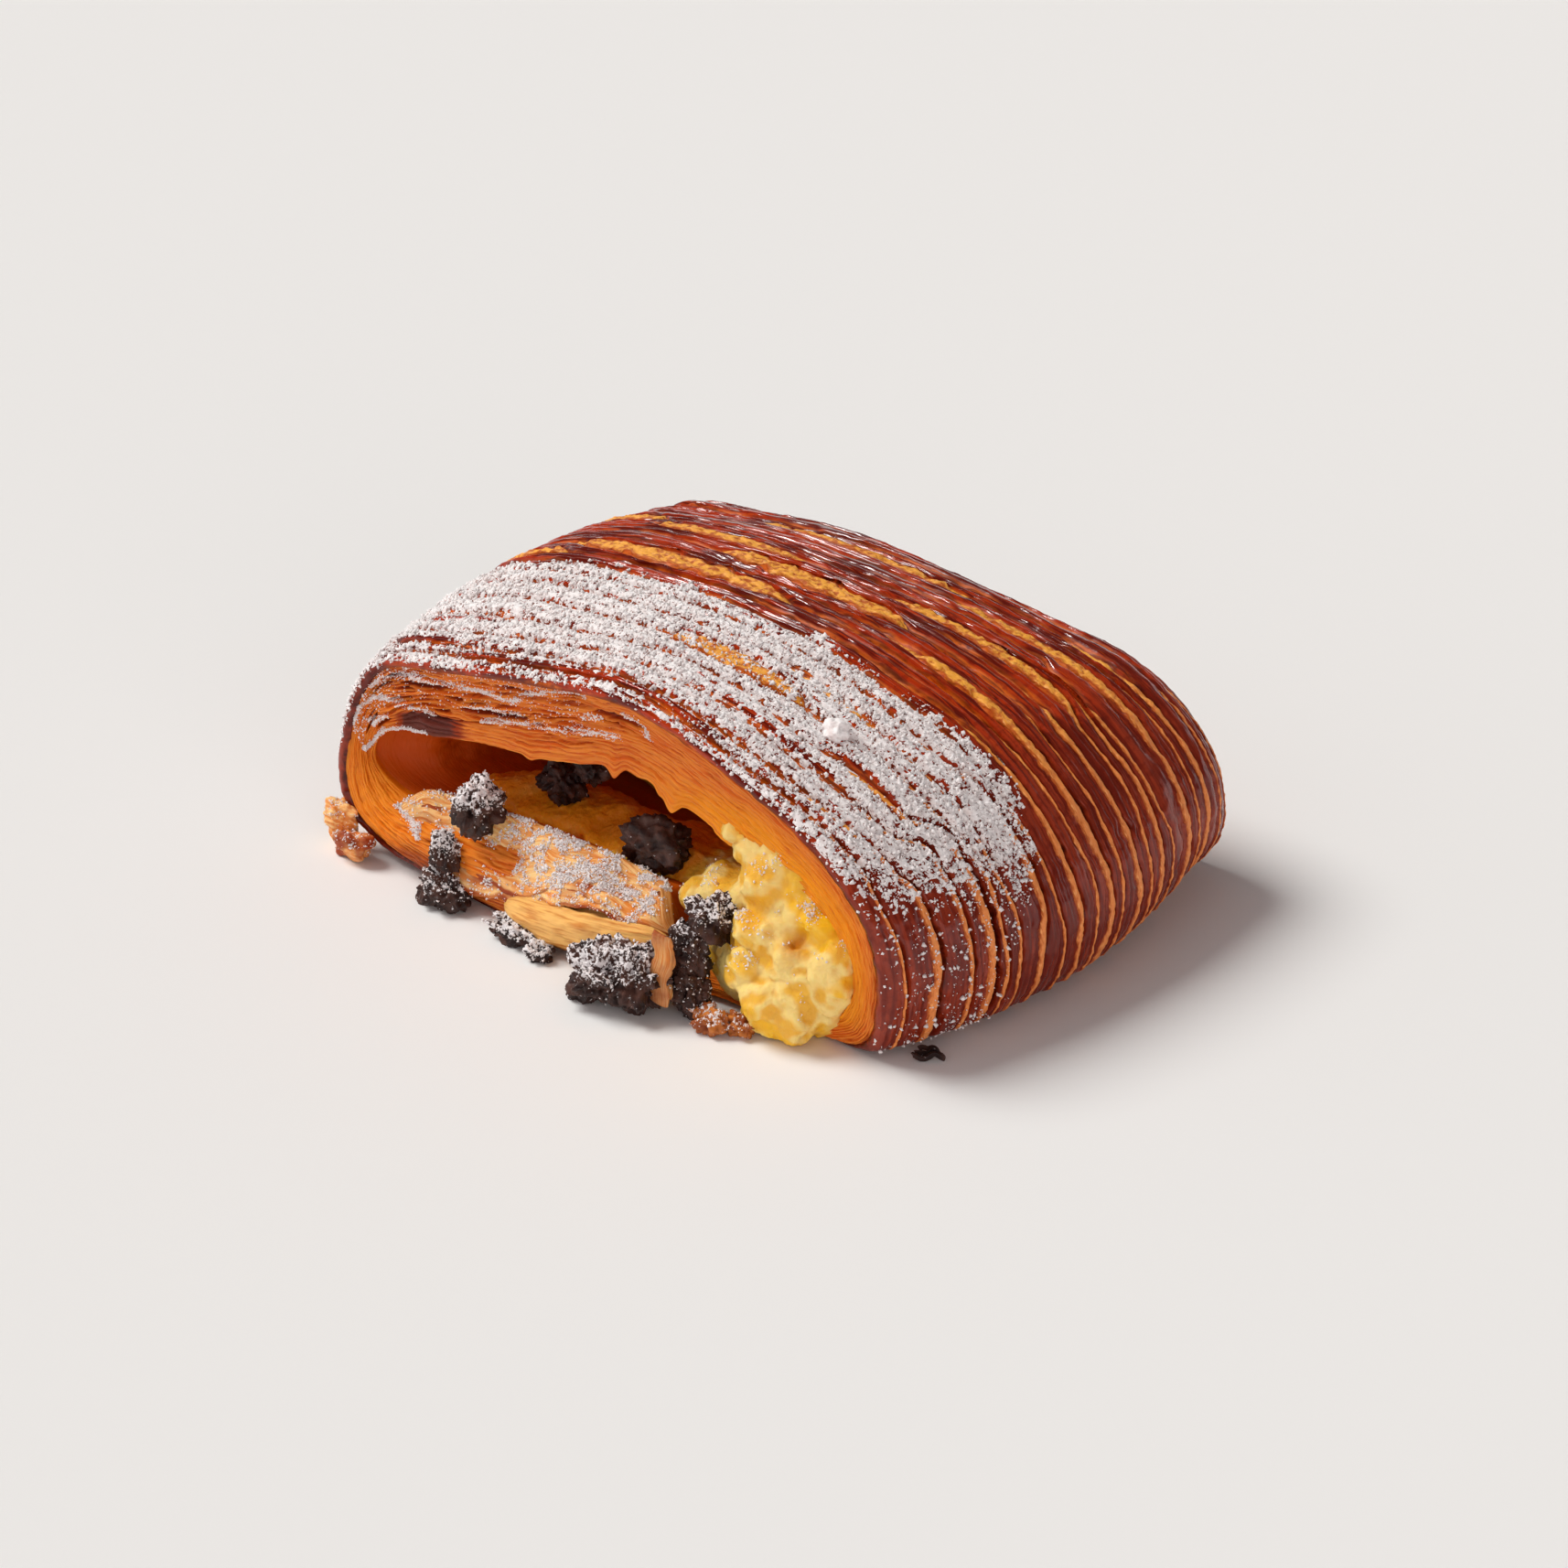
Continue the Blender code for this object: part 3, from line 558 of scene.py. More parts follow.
# openings between the sheets: place round the section, share across the face, half length, half height,
# depth in mm
leafGaps = [(0.430, 0.545, 0.030, 0.05, 2.4), (0.452, 0.17, 0.012, 0.035, 1.6),
            (0.528, 0.31, 0.02, 0.06, 1.3), (0.402, 0.42, 0.012, 0.035, 1.6),
            (0.303, 0.62, 0.016, 0.05, 1.3), (0.322, 0.82, 0.014, 0.04, 1.2),
            (0.375, 0.27, 0.024, 0.05, 1.6), (0.35, 0.5, 0.012, 0.03, 1.2), (0.48, 0.5, 0.022, 0.018, 0.7),
            (0.503, 0.66, 0.02, 0.014, 0.5), (0.56, 0.45, 0.02, 0.012, 0.5),
            (0.605, 0.3, 0.014, 0.012, 0.4), (0.64, 0.55, 0.02, 0.012, 0.4), (0.70, 0.35, 0.02, 0.012, 0.4),
            (0.74, 0.6, 0.02, 0.012, 0.4), (0.11, 0.6, 0.02, 0.02, 0.7), (0.05, 0.8, 0.02, 0.02, 0.6),
            (0.16, 0.4, 0.02, 0.02, 0.5)]
# and 22 smaller ones strewn over its upper left, from the least to the most of each
leastGap, mostGap = (0.285, 0.1, 0.006, 0.012, 0.6), (0.55, 0.75, 0.018, 0.03, 1.3)
leafGaps += np.random.default_rng(4).uniform(leastGap, mostGap, (22, 5)).tolist()


def evenRound(columns):
    # places round the section at even distances along the front outline
    fine = np.linspace(0, 1, 3001)
    walk = np.linalg.norm(np.diff(closedCurve(frontOutline, fine), axis=0), axis=1)
    walk = np.concatenate([[0], np.cumsum(walk)])
    return np.interp(np.arange(columns) / columns * walk[-1], walk, fine)


def innerEdge(u):
    # the mouth's smooth inner edge, low to the right of the tongue, and the torn tags that hang from it
    # over the top: ragged (noise^1.4 + 0.14 fine noise) + the sum of each tag's drop exp(-(round /
    # width)^2)
    edge = closedCurve(mouthEdge, u)
    rightOfTongue = smoothStep((edge[:, 0] - 9) / 5) * smoothStep((np.abs(u - 0.5) - 0.33) / 0.05)
    edge[:, 1] = edge[:, 1] * (1 - rightOfTongue) + 5.5 * rightOfTongue
    top = smoothStep((0.25 - np.abs(u - 0.53)) / 0.1)
    far = stacked(u * 38, 0, 0)
    drop = np.clip(cloudNoise(far, 41, 4), 0, 2) ** 1.4 + 0.14 * spotNoise(far * 9, 42)
    drop = mouthLook["ragged"] * top * drop
    for place, width, fall in edgeTags:
        drop = drop + fall * np.exp(-((u - place) / width) ** 2)
    tags = stacked(0, 0.4 * top * spotNoise(far * 0.7 + 5, 43) - 0.12 * drop, -drop)
    return stacked(edge[:, 0], sleeve["front"] + edge[:, 2], edge[:, 1]), tags


def facePoints(u, share):
    # rim (1-s)^2 + control 2s(1-s) + edge s^2, the control bowed from the middle of the two, plus tags s^5
    rim = sleevePoints(np.full((1, len(u)), 0.35), u)[0]
    rim = rim - sleeveNormals(np.full((1, len(u)), 1.6), u)[0] * 0.25
    edge, tags = innerEdge(u)
    bow = closedCurve(faceBow, u)
    control = (rim + edge) / 2 + stacked(0, bow[:, 0], bow[:, 1])
    s = share[:, None, None]
    return keptAbove(rim * (1 - s) ** 2 + control * 2 * s * (1 - s) + edge * s**2 + tags * s**5, 0.05)


def faceRelief(u, share, place):
    # share bent round every opening: s - sign(s - s0) height exp(-(along / 1.3)^2) exp(-|s - s0| / 0.12);
    # sheets L = layers (s + wave) + noise; height = step noise(floor L) - relief |2 frac L - 1|^2.4 -
    # depth (1 - d^2)^0.5
    s = share[:, None] + 0 * u
    around = u * girth
    bent, hollow = s, 0 * s
    for middle, level, length, height, depth in leafGaps:
        along, away = (u - middle) / length, s - level
        bent = bent - np.sign(away) * height * np.exp(-(along / 1.3) ** 2 - np.abs(away) / 0.12)
        inside = np.clip(1 - along**2 - (away / height) ** 2, 0, 1)
        hollow = np.maximum(hollow, depth * inside**0.5)
    loose = smoothStep((u - 0.3) / 0.05) * smoothStep((0.58 - u) / 0.1)
    loose = loose * smoothStep((s - 0.04) / 0.1) * smoothStep((0.95 - s) / 0.3)
    wave = cloudNoise(stacked(around / 12, s * 1.4, 0), 51, 2)
    small = cloudNoise(stacked(around / 3.4, s * 6, 0), 52, 2)
    layer = mouthLook["layers"] * (bent + (0.035 + 0.055 * loose) * wave) + (0.3 + 0.15 * loose) * small
    number = np.floor(layer)
    step = spotNoise(stacked(around / 11, number * 2.7, 0), 53)
    firm = 0.6 + 0.4 * spotNoise(stacked(around / 3.2, number * 1.9 + 7, 0), 54)
    groove = np.abs(2 * (layer - number) - 1) ** 2.4 * firm
    relief = mouthLook["layerStep"] * (0.8 + 1.8 * loose) * step
    relief = relief - mouthLook["layerRelief"] * (1 + 1.3 * loose) * groove
    relief = relief - hollow + 0.1 * cloudNoise(place * 1.1, 55) + 0.25 * spotNoise(place * 0.3, 56)
    return relief * np.clip(np.minimum(s, 1 - s) * 12, 0.1, 1), groove, hollow, loose


def faceMarks(u, share, plain, groove, hollow, loose):
    # brown: by the rim 0.85 - 9s; painted shade in the grooves groove^1.5 and in the openings; three darker
    # patches exp(-(away / reach)^4 or ^2); yolk-yellow: smoothStep from the inner edge, further out at the
    # right
    s = share[:, None]
    spread = smoothStep((u - 0.5) / 0.16) * smoothStep((0.93 - u) / 0.1)
    left = np.exp(-((u - 0.2) / 0.09) ** 2)
    # browner by the rim, and painted shade in the grooves
    brown = np.clip(0.85 - s * 9, 0, 1) * (0.6 + 0.4 * loose) + 0.62 * groove**1.5
    brown = brown + 0.22 * cloudNoise(plain * 0.3, 57) * (1 - left)
    patch = np.exp(-(((u - 0.372) / 0.03) ** 4) - ((s - 0.86) / 0.17) ** 4)
    shut = np.exp(-(((u - 0.36) / 0.03) ** 2) - ((s - 0.12) / 0.1) ** 2)
    foot = np.exp(-((u - 0.11) / 0.055) ** 2) * smoothStep((0.6 - s) / 0.4)
    foot = foot * (0.5 + 0.5 * cloudNoise(plain * 0.22, 58))
    # painted shade in the grooves of the loose part and in the openings
    brown = np.clip(brown + 0.5 * loose * groove, 0, 0.95) + 0.85 * np.clip(hollow, 0, 1)
    brown = brown + 1.3 * patch + 0.5 * shut + foot
    yolk = smoothStep((s - (0.9 - 0.8 * spread)) / 0.5) * (0.3 + 0.65 * spread) + 0.4 * left
    return stacked(np.clip(brown, 0, 1.3), np.clip(yolk, 0, 1), 0)


def buildFace(material):
    # face + outward x relief; its inner edge rolls back as a thin lip, and the ring closes behind
    u, rows = evenRound(mouthLook["columns"]), mouthLook["rows"]
    share = (np.arange(rows) + 0.5) / rows
    plain = facePoints(u, share)
    relief, groove, hollow, loose = faceRelief(u, share, plain)
    # outward: (next row - last row) x (next column - last column), turned to the front, and up or down by
    # height
    out = normalOf(np.cross(np.gradient(plain, axis=0), np.roll(plain, -1, 1) - np.roll(plain, 1, 1)))
    out = out * np.sign(-out[..., 1:2] * 0.8 + 0.2 * out[..., 2:3] * np.sign(plain[..., 2:3] - 8) + 1e-6)
    face = keptAbove(plain + out * relief[..., None], 0.03)
    away = normalOf((face[-1] - mouthMiddle) * [1, 0, 1])
    steps = (1.6, 2.0), (0.5, 0.9), (0.12, 0.35)
    lip = np.stack([face[-1] + away * wide + [0, deep, 0] for wide, deep in steps])
    behind = keptAbove(plain[np.linspace(4, rows - 8, 8).astype(int)] + [0, 3.3, 0], 0.5)
    grid = np.concatenate([behind, lip, face[::-1]])
    marks = faceMarks(u, share, plain, groove, hollow, loose)
    hidden = len(behind) + len(lip)
    marks = np.concatenate([np.repeat(marks[-1:], hidden, 0), marks[::-1]])
    across = np.concatenate([np.full(hidden, 12.0), share[::-1] * 12])
    # a sheet's raised edge, which the material paints lighter as a highlight
    raised = np.concatenate([np.zeros((hidden, len(u))), (1 - groove)[::-1]])
    flow = stacked(u * girth, across[:, None], raised)
    makeMesh("mouth_face", grid, ringFaces(*raised.shape), material, "crust", "dough", marks, flow)
    return u, face, out


# the pocket behind it, the slit that the filling runs through, and the back end
pocketLook = {
    "columns": 480,
    "wallRows": 34,
    "backRows": 72,
    "ripple": 0.8,              # mm
    "backLayers": 14,
}
# openings further in: half width left and right, tip, floor, floor at right, crown
openings = {"pocket": (43.0, 43.5, 15.0, 11.0, 7.6, 30.5), "slit": (40.0, 42.0, 13.4, 11.0, 9.8, 16.8),
            "end": (35.0, 35.0, 16.2, 14.5, 14.5, 18.3)}
# sections: mm from the mouth's edge, an opening, another, and the other's share
sections = [(0, "edge", "edge", 0), (1.5, "edge", "pocket", 0.15), (5.5, "edge", "pocket", 0.75),
            (12.5, "pocket", "pocket", 0), (15.5, "pocket", "slit", 0.1), (18, "pocket", "slit", 0.45),
            (20.5, "slit", "slit", 0), (34, "slit", "slit", 0),
            (57, "slit", "end", 0.35), (76, "end", "slit", 0.1),
            (80.9, "end", "end", 0)]


def ovalOpening(sizes, u):
    # x = -sin(a) half width, z = tip + (floor or crown - tip) |cos a|^0.5 or 0.85, a following the
    # outline's points
    left, right, tip, floor, rightFloor, crown = sizes
    turn = np.radians(np.interp(u * 15, (0, 4, 8, 12, 15), (0, 90, 180, 270, 360)))
    side, lift = np.sin(turn), np.cos(turn)
    x = -side * np.where(side > 0, left, right)
    low = floor + (rightFloor - floor) * smoothStep((x - 8) / 14)
    down, rise = tip + (low - tip) * np.abs(lift) ** 0.5, tip + (crown - tip) * np.abs(lift) ** 0.85
    z = np.where(lift > 0, down, rise)
    return stacked(x, z)


def buildWall(u):
    # one section blended into the next by half smoothStep and half straight, rippled outward by noise
    # inside
    edge = innerEdge(u)[0]
    away = (edge - mouthMiddle) * [1, 0, 1]
    edge = edge + normalOf(away) * 1.3 + [0, 1.5, 0]
    shapes = {name: ovalOpening(sizes, u) for name, sizes in openings.items()}
    shapes["edge"] = edge[:, [0, 2]]
    stops = np.array([section[0] for section in sections])
    shapes = np.array([shapes[one] * (1 - share) + shapes[other] * share
                       for one, other, share in (section[1:] for section in sections)])
    places = np.concatenate([np.linspace(0, 20.5, pocketLook["wallRows"]), np.linspace(24, 80.9, 9)])
    at = np.clip(np.searchsorted(stops, places) - 1, 0, len(stops) - 2)
    t = ((places - stops[at]) / (stops[at + 1] - stops[at]))[:, None, None]
    t = smoothStep(t) * 0.5 + t * 0.5
    wall = shapes[at] * (1 - t) + shapes[at + 1] * t
    near = np.clip(places / 6, 0, 1)[:, None]
    y = edge[:, 1] * (1 - near) + (sleeve["front"] + 4.7) * near + places[:, None]
    wall = stacked(wall[..., 0], np.minimum(y, sleeve["front"] + 82.4), wall[..., 1])
    inside = smoothStep((places - 1) / 6)[:, None] * (places < 30)[:, None]
    away = (wall - mouthMiddle) * [1, 0, 1]
    away = away / np.maximum(np.linalg.norm(away, axis=-1, keepdims=True), 1)
    ripple = pocketLook["ripple"] * cloudNoise(wall * [0.16, 0.3, 0.5], 61) * inside
    return places, wall + away * ripple[..., None]


def buildPocket(material):
    # the wall, then the back end: from the crust's last row in to the slit, in sheets L = layers (s +
    # noise) + noise that stand 0.55 noise(floor L) - 0.55 |2 frac L - 1|^2.4 proud, and a plain skin
    # behind the crust
    u = evenRound(pocketLook["columns"])
    places, wall = buildWall(u)
    rim = sleevePoints(np.full((1, len(u)), crustLength), u)[0]
    share = (np.arange(pocketLook["backRows"])[:, None] + 0.5) / pocketLook["backRows"]
    back = rim * (1 - share[..., None]) + wall[-1] * share[..., None]
    far = stacked(u * 22, 1.4 * share, 0)
    layer = pocketLook["backLayers"] * (share + 0.06 * cloudNoise(far, 63, 3))
    layer = layer + 0.4 * cloudNoise(far * [3.6, 4, 1], 65, 2)
    groove = np.abs(2 * (layer - np.floor(layer)) - 1) ** 2.4
    step = spotNoise(stacked(u * 30, np.floor(layer) * 2.7, 0), 64)
    back[..., 1] += (0.55 * step - 0.55 * groove) * np.clip(np.minimum(share, 1 - share) * 10, 0, 1)
    behind = np.linspace(2.6, crustLength - 1, 8)[:, None] + 0 * u
    hidden = keptAbove(sleevePoints(behind, u) - sleeveNormals(behind, u) * 0.9, 0.3)
    grid = np.concatenate([hidden, back, wall[::-1]])
    wallMarks = stacked(0.1, 0 * u, smoothStep((places[::-1, None] + 1.5) / 4))
    # browner by the crust's rim, and painted shade in the grooves between the sheets
    brown = np.clip(0.85 - share * 5, 0, 1) + 0.55 * groove**1.5
    backMarks = stacked(brown, 0.5 * smoothStep((share - 0.45) / 0.4), 0)
    marks = np.concatenate([np.zeros(hidden.shape), backMarks, wallMarks])
    across = np.concatenate([np.full(len(hidden), -1), 30 + share[:, 0] * 9, -places[::-1]])
    flow = stacked(u * girth, across[:, None], 0)
    makeMesh("pocket_wall", grid, ringFaces(*grid.shape[:2]), material, "crust", "dough", marks, flow)


def mouthMaterial():
    # marks: brownness (1 is plum), with painted shade in the grooves and openings, yolk-yellow, shut away
    # from the light; flow's third number: a sheet's raised edge, painted lighter as a highlight
    material, tree, shader = newMaterial("layered_dough", {
        "IOR": 1.45, "Specular IOR Level": 0.3, "Subsurface Weight": 0.12, "Subsurface Scale": 0.0012,
        "Subsurface Radius": (1.0, 0.4, 0.15)})
    brown, yolk, cave = readMarks(tree)
    flow, place = readFlow(tree), readPlace(tree)
    lines = grain(flow, 1.0, 4, (0.12, 3.4, 0))
    raised = fedBy("ShaderNodeSeparateXYZ", {0: flow}, 2)
    blotch = grain(place, 160, 3)
    # raised sheet edges lighter: a painted highlight
    light = times(raised, 0.3, times(blotch, 0.3, lines))
    skin = mixed(between(light, 0.76, 1.0), mouthLook["orange"], mouthLook["light"])
    skin = mixed(between(strewn(brown, lines, -0.5), 0.2, 0.75), skin, mouthLook["rust"])
    skin = mixed(between(strewn(brown, blotch, 0.5), 0.75, 1.05), skin, mouthLook["plum"])
    skin = mixed(times(yolk, between(lines, 0.2, 0.5)), skin, mouthLook["yolk"])
    skin = mixed(cave, skin, mouthLook["cave"])
    coarse = bumped(lines, 0.5, 0.0004)
    joinShader(shader, skin, bumped(grain(place, 1100, 3), 0.25, 0.0003, coarse), times(blotch, 0.3, 0.34))
    return material


mouthDough = mouthMaterial()
mouthRound, mouthFace, mouthOut = buildFace(mouthDough)
buildPocket(mouthDough)
print("mouth done")


# the custard
custardLook = {
    "grain": 0.36,              # mm between points of the remeshed surface
    "lumps": 0.9,               # mm
    "curds": 0.26,
    "fine": 0.24,
    "pale": colour(247, 216, 132),
    "cream": colour(240, 184, 62),
    "yolk": colour(248, 190, 24),
    "film": colour(236, 142, 22),
    "shade": colour(196, 120, 20),
}
# rounded masses: centre and radii, mm
custardMasses = [((29.5, -29, 17), (10, 9, 13)), ((33, -35.5, 10), (9, 5.5, 9)),
                 ((36.2, -38.8, 4.5), (6.6, 4.6, 5.2)), ((25, -34.5, 8.5), (6.5, 5, 7)),
                 ((20, -31, 13.5), (7, 6.5, 6)), ((4, -23.5, 12), (24, 8.5, 4.2)),
                 ((-20, -23, 11.8), (17, 7.6, 3.8)), ((15.5, -34, 14.2), (3.6, 2.6, 2.6)),
                 ((24, -33.5, 17.5), (4.2, 3.2, 2.6)), ((30, -38.5, 15.5), (4.4, 2.6, 3)),
                 ((36, -37, 14), (4.6, 3.4, 3.2)), ((30, -40.5, 9), (3.4, 2.4, 3.6)),
                 ((34, -41.5, 6.5), (3.8, 2.2, 3.4)), ((39.5, -37.5, 8.5), (4, 3.4, 4)),
                 ((27.5, -33, 22), (3.6, 3.2, 3.4)), ((42.5, -36.2, 10), (4, 3, 6)),
                 ((40, -36, 5), (5, 3, 4)), ((37, -34.5, 18), (5, 3.4, 5)),
                 ((31.5, -34, 21.5), (4, 3, 3.6)), ((26, -33, 24.5), (4.5, 3, 3)),
                 ((33, -34, 21.2), (4.5, 3.2, 3.4)), ((39, -35, 17.6), (4.5, 3.2, 4)),
                 ((43.5, -36, 13), (3.4, 3, 5)), ((21, -32, 27), (4, 3, 2))]
# holes: centre, radius, depth
custardHoles = [((37.6, -38.6, 15.6), 1.5, 2.6), ((31.5, -36.0, 21.5), 0.7, 1.4),
                ((26, -38.8, 12.2), 0.8, 1.2)]


def ball(detail):
    # an icosphere's unit points and its triangles
    shape = bmesh.new()
    bmesh.ops.create_icosphere(shape, subdivisions=detail, radius=1)
    points = np.array([vertex.co[:] for vertex in shape.verts])
    triangles = np.array([[vertex.index for vertex in face.verts] for face in shape.faces])
    shape.free()
    return points, triangles


def readRows(items, key, width, kind=np.float32):
    # one row of numbers from each item of a mesh
    values = np.empty(len(items) * width, kind)
    items.foreach_get(key, values)
    return values.reshape(-1, width)


def remeshed(points, triangles, step):
    # one skin round overlapping closed lumps, from Blender's voxel remesh: points, outward normals and
    # quads
    mesh = bpy.data.meshes.new("lumps")
    mesh.from_pydata(points.tolist(), [], triangles.tolist())
    lumps = addObject("lumps", mesh)
    remesh = lumps.modifiers.new("remesh", "REMESH")
    remesh.mode = "VOXEL"
    remesh.voxel_size = step
    bpy.context.view_layer.update()
    skin = bpy.data.meshes.new_from_object(lumps.evaluated_get(bpy.context.evaluated_depsgraph_get()))
    place = readRows(skin.vertices, "co", 3).astype(float)
    normal = readRows(skin.vertex_normals, "vector", 3).astype(float)
    quads = readRows(skin.loops, "vertex_index", 1, np.int32).reshape(-1, 4)
    bpy.data.objects.remove(lumps)
    bpy.data.meshes.remove(mesh)
    bpy.data.meshes.remove(skin)
    return place, normal, quads


def buildCustard(material):
    # the masses, each radius 1 + 0.16 noise, in one skin + normal (lumps noise + curds (1 - 2|noise|) +
    # fine |noise| - the sum of each hole's depth exp(-(away / radius)^2))
    points, triangles = ball(4)
    parts, faces = [], []
    for number, (centre, radii) in enumerate(custardMasses):
        swell = 1 + 0.16 * spotNoise(points * 1.9 + number * 5.3, number)[:, None]
        parts.append(points * swell * radii + centre)
        faces.append(triangles + number * len(points))
    place, normal, quads = remeshed(np.concatenate(parts), np.concatenate(faces), custardLook["grain"])
    curds = 1 - 2 * np.abs(cloudNoise(place / 3.1, 71, 2))
    tiny = 1.4 * np.abs(cloudNoise(place / 1.5, 72, 3)) - 0.7
    relief = custardLook["lumps"] * cloudNoise(place / 5.5, 73, 2)
    relief = relief + custardLook["curds"] * curds + custardLook["fine"] * tiny
    hollow = np.zeros(len(place))
    for centre, radius, depth in custardHoles:
        near = np.linalg.norm(place - centre, axis=1) / radius
        hollow = hollow + depth * np.exp(-near**2)
    place = keptAbove(place + normal * (relief - hollow)[:, None], 0.05)
    x, y, z = place.T
    film = smoothStep((13 - x + 2 * spotNoise(place / 3, 74)) / 5) * smoothStep((y + 33.5) / 3)
    egg = smoothStep((cloudNoise(place / 6, 75) + 0.5 * smoothStep((10 - z) / 6) - 0.15) / 0.5)
    egg = 0.28 * egg * (film < 0.5) + 0.5 * film
    marks = stacked(np.clip(0.5 + 0.55 * curds, 0, 1), np.clip(hollow / 1.2, 0, 1), egg)
    makeMesh("custard_spill", place, [quads], material, "custard", "custard", marks)
    return place, normal


def buildCore(material):
    # the rest of the filling, through to the back end: an icosphere's points drawn out to |d|^0.6 sign(d)
    # radii
    points, triangles = ball(5)
    box = np.sign(points) * np.abs(points) ** 0.6
    core = box * [38, 28, 3.6] + [1, 18, 13.6] + normalOf(points) * 0.5 * cloudNoise(points * 14, 76)[:, None]
    core[:, 0] *= 1 - 0.13 * smoothStep((core[:, 1] + 10) / 55)
    # half a hole's mark: painted shade, as this part lies deep inside
    marks = np.zeros(core.shape) + [0.3, 0.5, 0.2]
    makeMesh("custard_core", core, [triangles], material, "custard", "custard", marks)


def custardMaterial():
    # marks: a curd's crest, a hole, and egg-yellow, which from 0.4 on is the thin film inside
    material, tree, shader = newMaterial("pastry_cream", {
        "IOR": 1.42, "Specular IOR Level": 0.5, "Subsurface Weight": 0.3, "Subsurface Scale": 0.0025,
        "Subsurface Radius": (1.0, 0.62, 0.2)})
    crest, hole, egg = readMarks(tree)
    place = readPlace(tree)
    patch = grain(place, 170, 3)
    skin = mixed(between(times(patch, 0.8, crest), 0.75, 1.3), custardLook["cream"], custardLook["pale"])
    skin = mixed(times(between(egg, 0.0, 0.28), between(patch, 0.35, 0.6)), skin, custardLook["yolk"])
    skin = mixed(between(times(patch, 0.15, egg), 0.42, 0.6), skin, custardLook["film"])
    skin = mixed(hole, skin, custardLook["shade"])
    rough = times(grain(place, 600, 2), 0.4, 0.22)
    joinShader(shader, skin, bumped(grain(place, 1300, 4), 0.6, 0.0005), rough)
    return material


custardCream = custardMaterial()
custardPlace, custardNormal = buildCustard(custardCream)
buildCore(custardCream)
print("custard done")


# chocolate crumbs and caramelised bits
chocolateLook = {
    "crumble": 0.62,            # mm
    "grit": 0.2,
    "powder": colour(236, 232, 232),
    "dark": colour(38, 20, 16),
    "cocoa": colour(84, 54, 44),
    "caramel": colour(150, 74, 34),
    "amber": colour(206, 124, 52),
}
# detail of each piece's mesh, and how much powdered sugar lies on it
chocolatePieces = {"chocolate_lip": (5, 0.9), "chocolate_lip_small": (5, 0.8), "chocolate_corner": (5, 0.6),
                   "chocolate_crumbs": (5, 0.9), "chocolate_crumb_end": (4, 0.9),
                   "chocolate_pile": (6, 0.8), "chocolate_pile_right": (6, 0.75),
                   "chocolate_upright": (5, 0.5), "chocolate_foot": (5, 0.2), "chocolate_custard": (5, 0.7),
                   "chocolate_pocket": (5, 0.0), "chocolate_deep": (5, 0.0),
                   "chocolate_deep_high": (5, 0.0), "caramel_bits": (5, 0.5),
                   "caramel_bits_right": (5, 0.3)}


def buildCrumb(name, detail, dusted, material, number):
    # an icosphere in the node's own box, its radius 0.93 + 0.36 noise, then pushed out and in by
    # crumble (1 - 2|noise|) + grit noise
    low, high = nodeBox(name)
    points, triangles = ball(detail)
    centre, radii = (low + high) / 2, (high - low) / 2
    shape = 0.93 + 0.36 * cloudNoise(points * 2.1 + number * 3.1, number, 3)
    place = centre + points * shape[:, None] * radii
    chunks = 1 - 2 * np.abs(cloudNoise(place / 1.7, 81 + number, 3))
    grit = spotNoise(place / 0.42, 82 + number)
    out = normalOf(points / radii)
    relief = chocolateLook["crumble"] * chunks + chocolateLook["grit"] * grit
    place = keptAbove(place + out * relief[:, None], 0.03)
    up = smoothStep((out[:, 2] + 0.25) / 0.9)
    marks = stacked(np.clip(0.5 + 0.5 * chunks, 0, 1), up * dusted, 0)
    slot = "flake" if name.startswith("caramel") else "chocolate"
    makeMesh(name + "_crumb", place, [triangles], material, slot, name, marks)
    return place, out, dusted


def crumbMaterial(name, dark, light):
    # marks: a chunk's crest, powdered sugar
    material, tree, shader = newMaterial(name, {"IOR": 1.45})
    chunk, dusted = readMarks(tree)[:2]
    place = readPlace(tree)
    powder = grain(place, 1500, 3, rough=0.6)
    skin = mixed(between(grain(place, 420, 4), 0.35, 0.7), dark, light)
    white = between(maths("ADD", times(dusted, 0.28), times(chunk, 0.12, powder)), 0.76, 0.84)
    skin = mixed(white, skin, chocolateLook["powder"])
    joinShader(shader, skin, bumped(powder, 0.5, 0.0004), times(white, 0.35, 0.5))
    return material


chocolateCrumb = crumbMaterial("cocoa_crumb", chocolateLook["dark"], chocolateLook["cocoa"])
caramelCrumb = crumbMaterial("caramel_crumb", chocolateLook["caramel"], chocolateLook["amber"])
crumbTops = []
for number, (name, (detail, dusted)) in enumerate(chocolatePieces.items()):
    crumbFinish = caramelCrumb if name.startswith("caramel") else chocolateCrumb
    crumbTops.append(buildCrumb(name, detail, dusted, crumbFinish, number))
print("chocolate done")


# the lower lip's sheets and its roll
lipLook = {
    "sheets": 5,
    "rise": 0.95,               # mm from one sheet to the next
    "retreat": 0.17,            # how far each lies behind the one under it, share of the depth
    "thickness": 0.5,
    "wave": 1.25,               # height of the sheets' slow waves, mm
    "swell": 1.0,               # height of its round back, mm
    "columns": 230,
    "rows": 34,
    "length": 62,               # from end to end, for patterns along it
    "rollColumns": 150,
    "rollSides": 72,
    "orange": colour(228, 138, 60),
    "light": colour(253, 208, 140),
    "brown": colour(158, 64, 22),
    "roll": colour(244, 190, 108),
    "rollShade": colour(206, 128, 54),
}
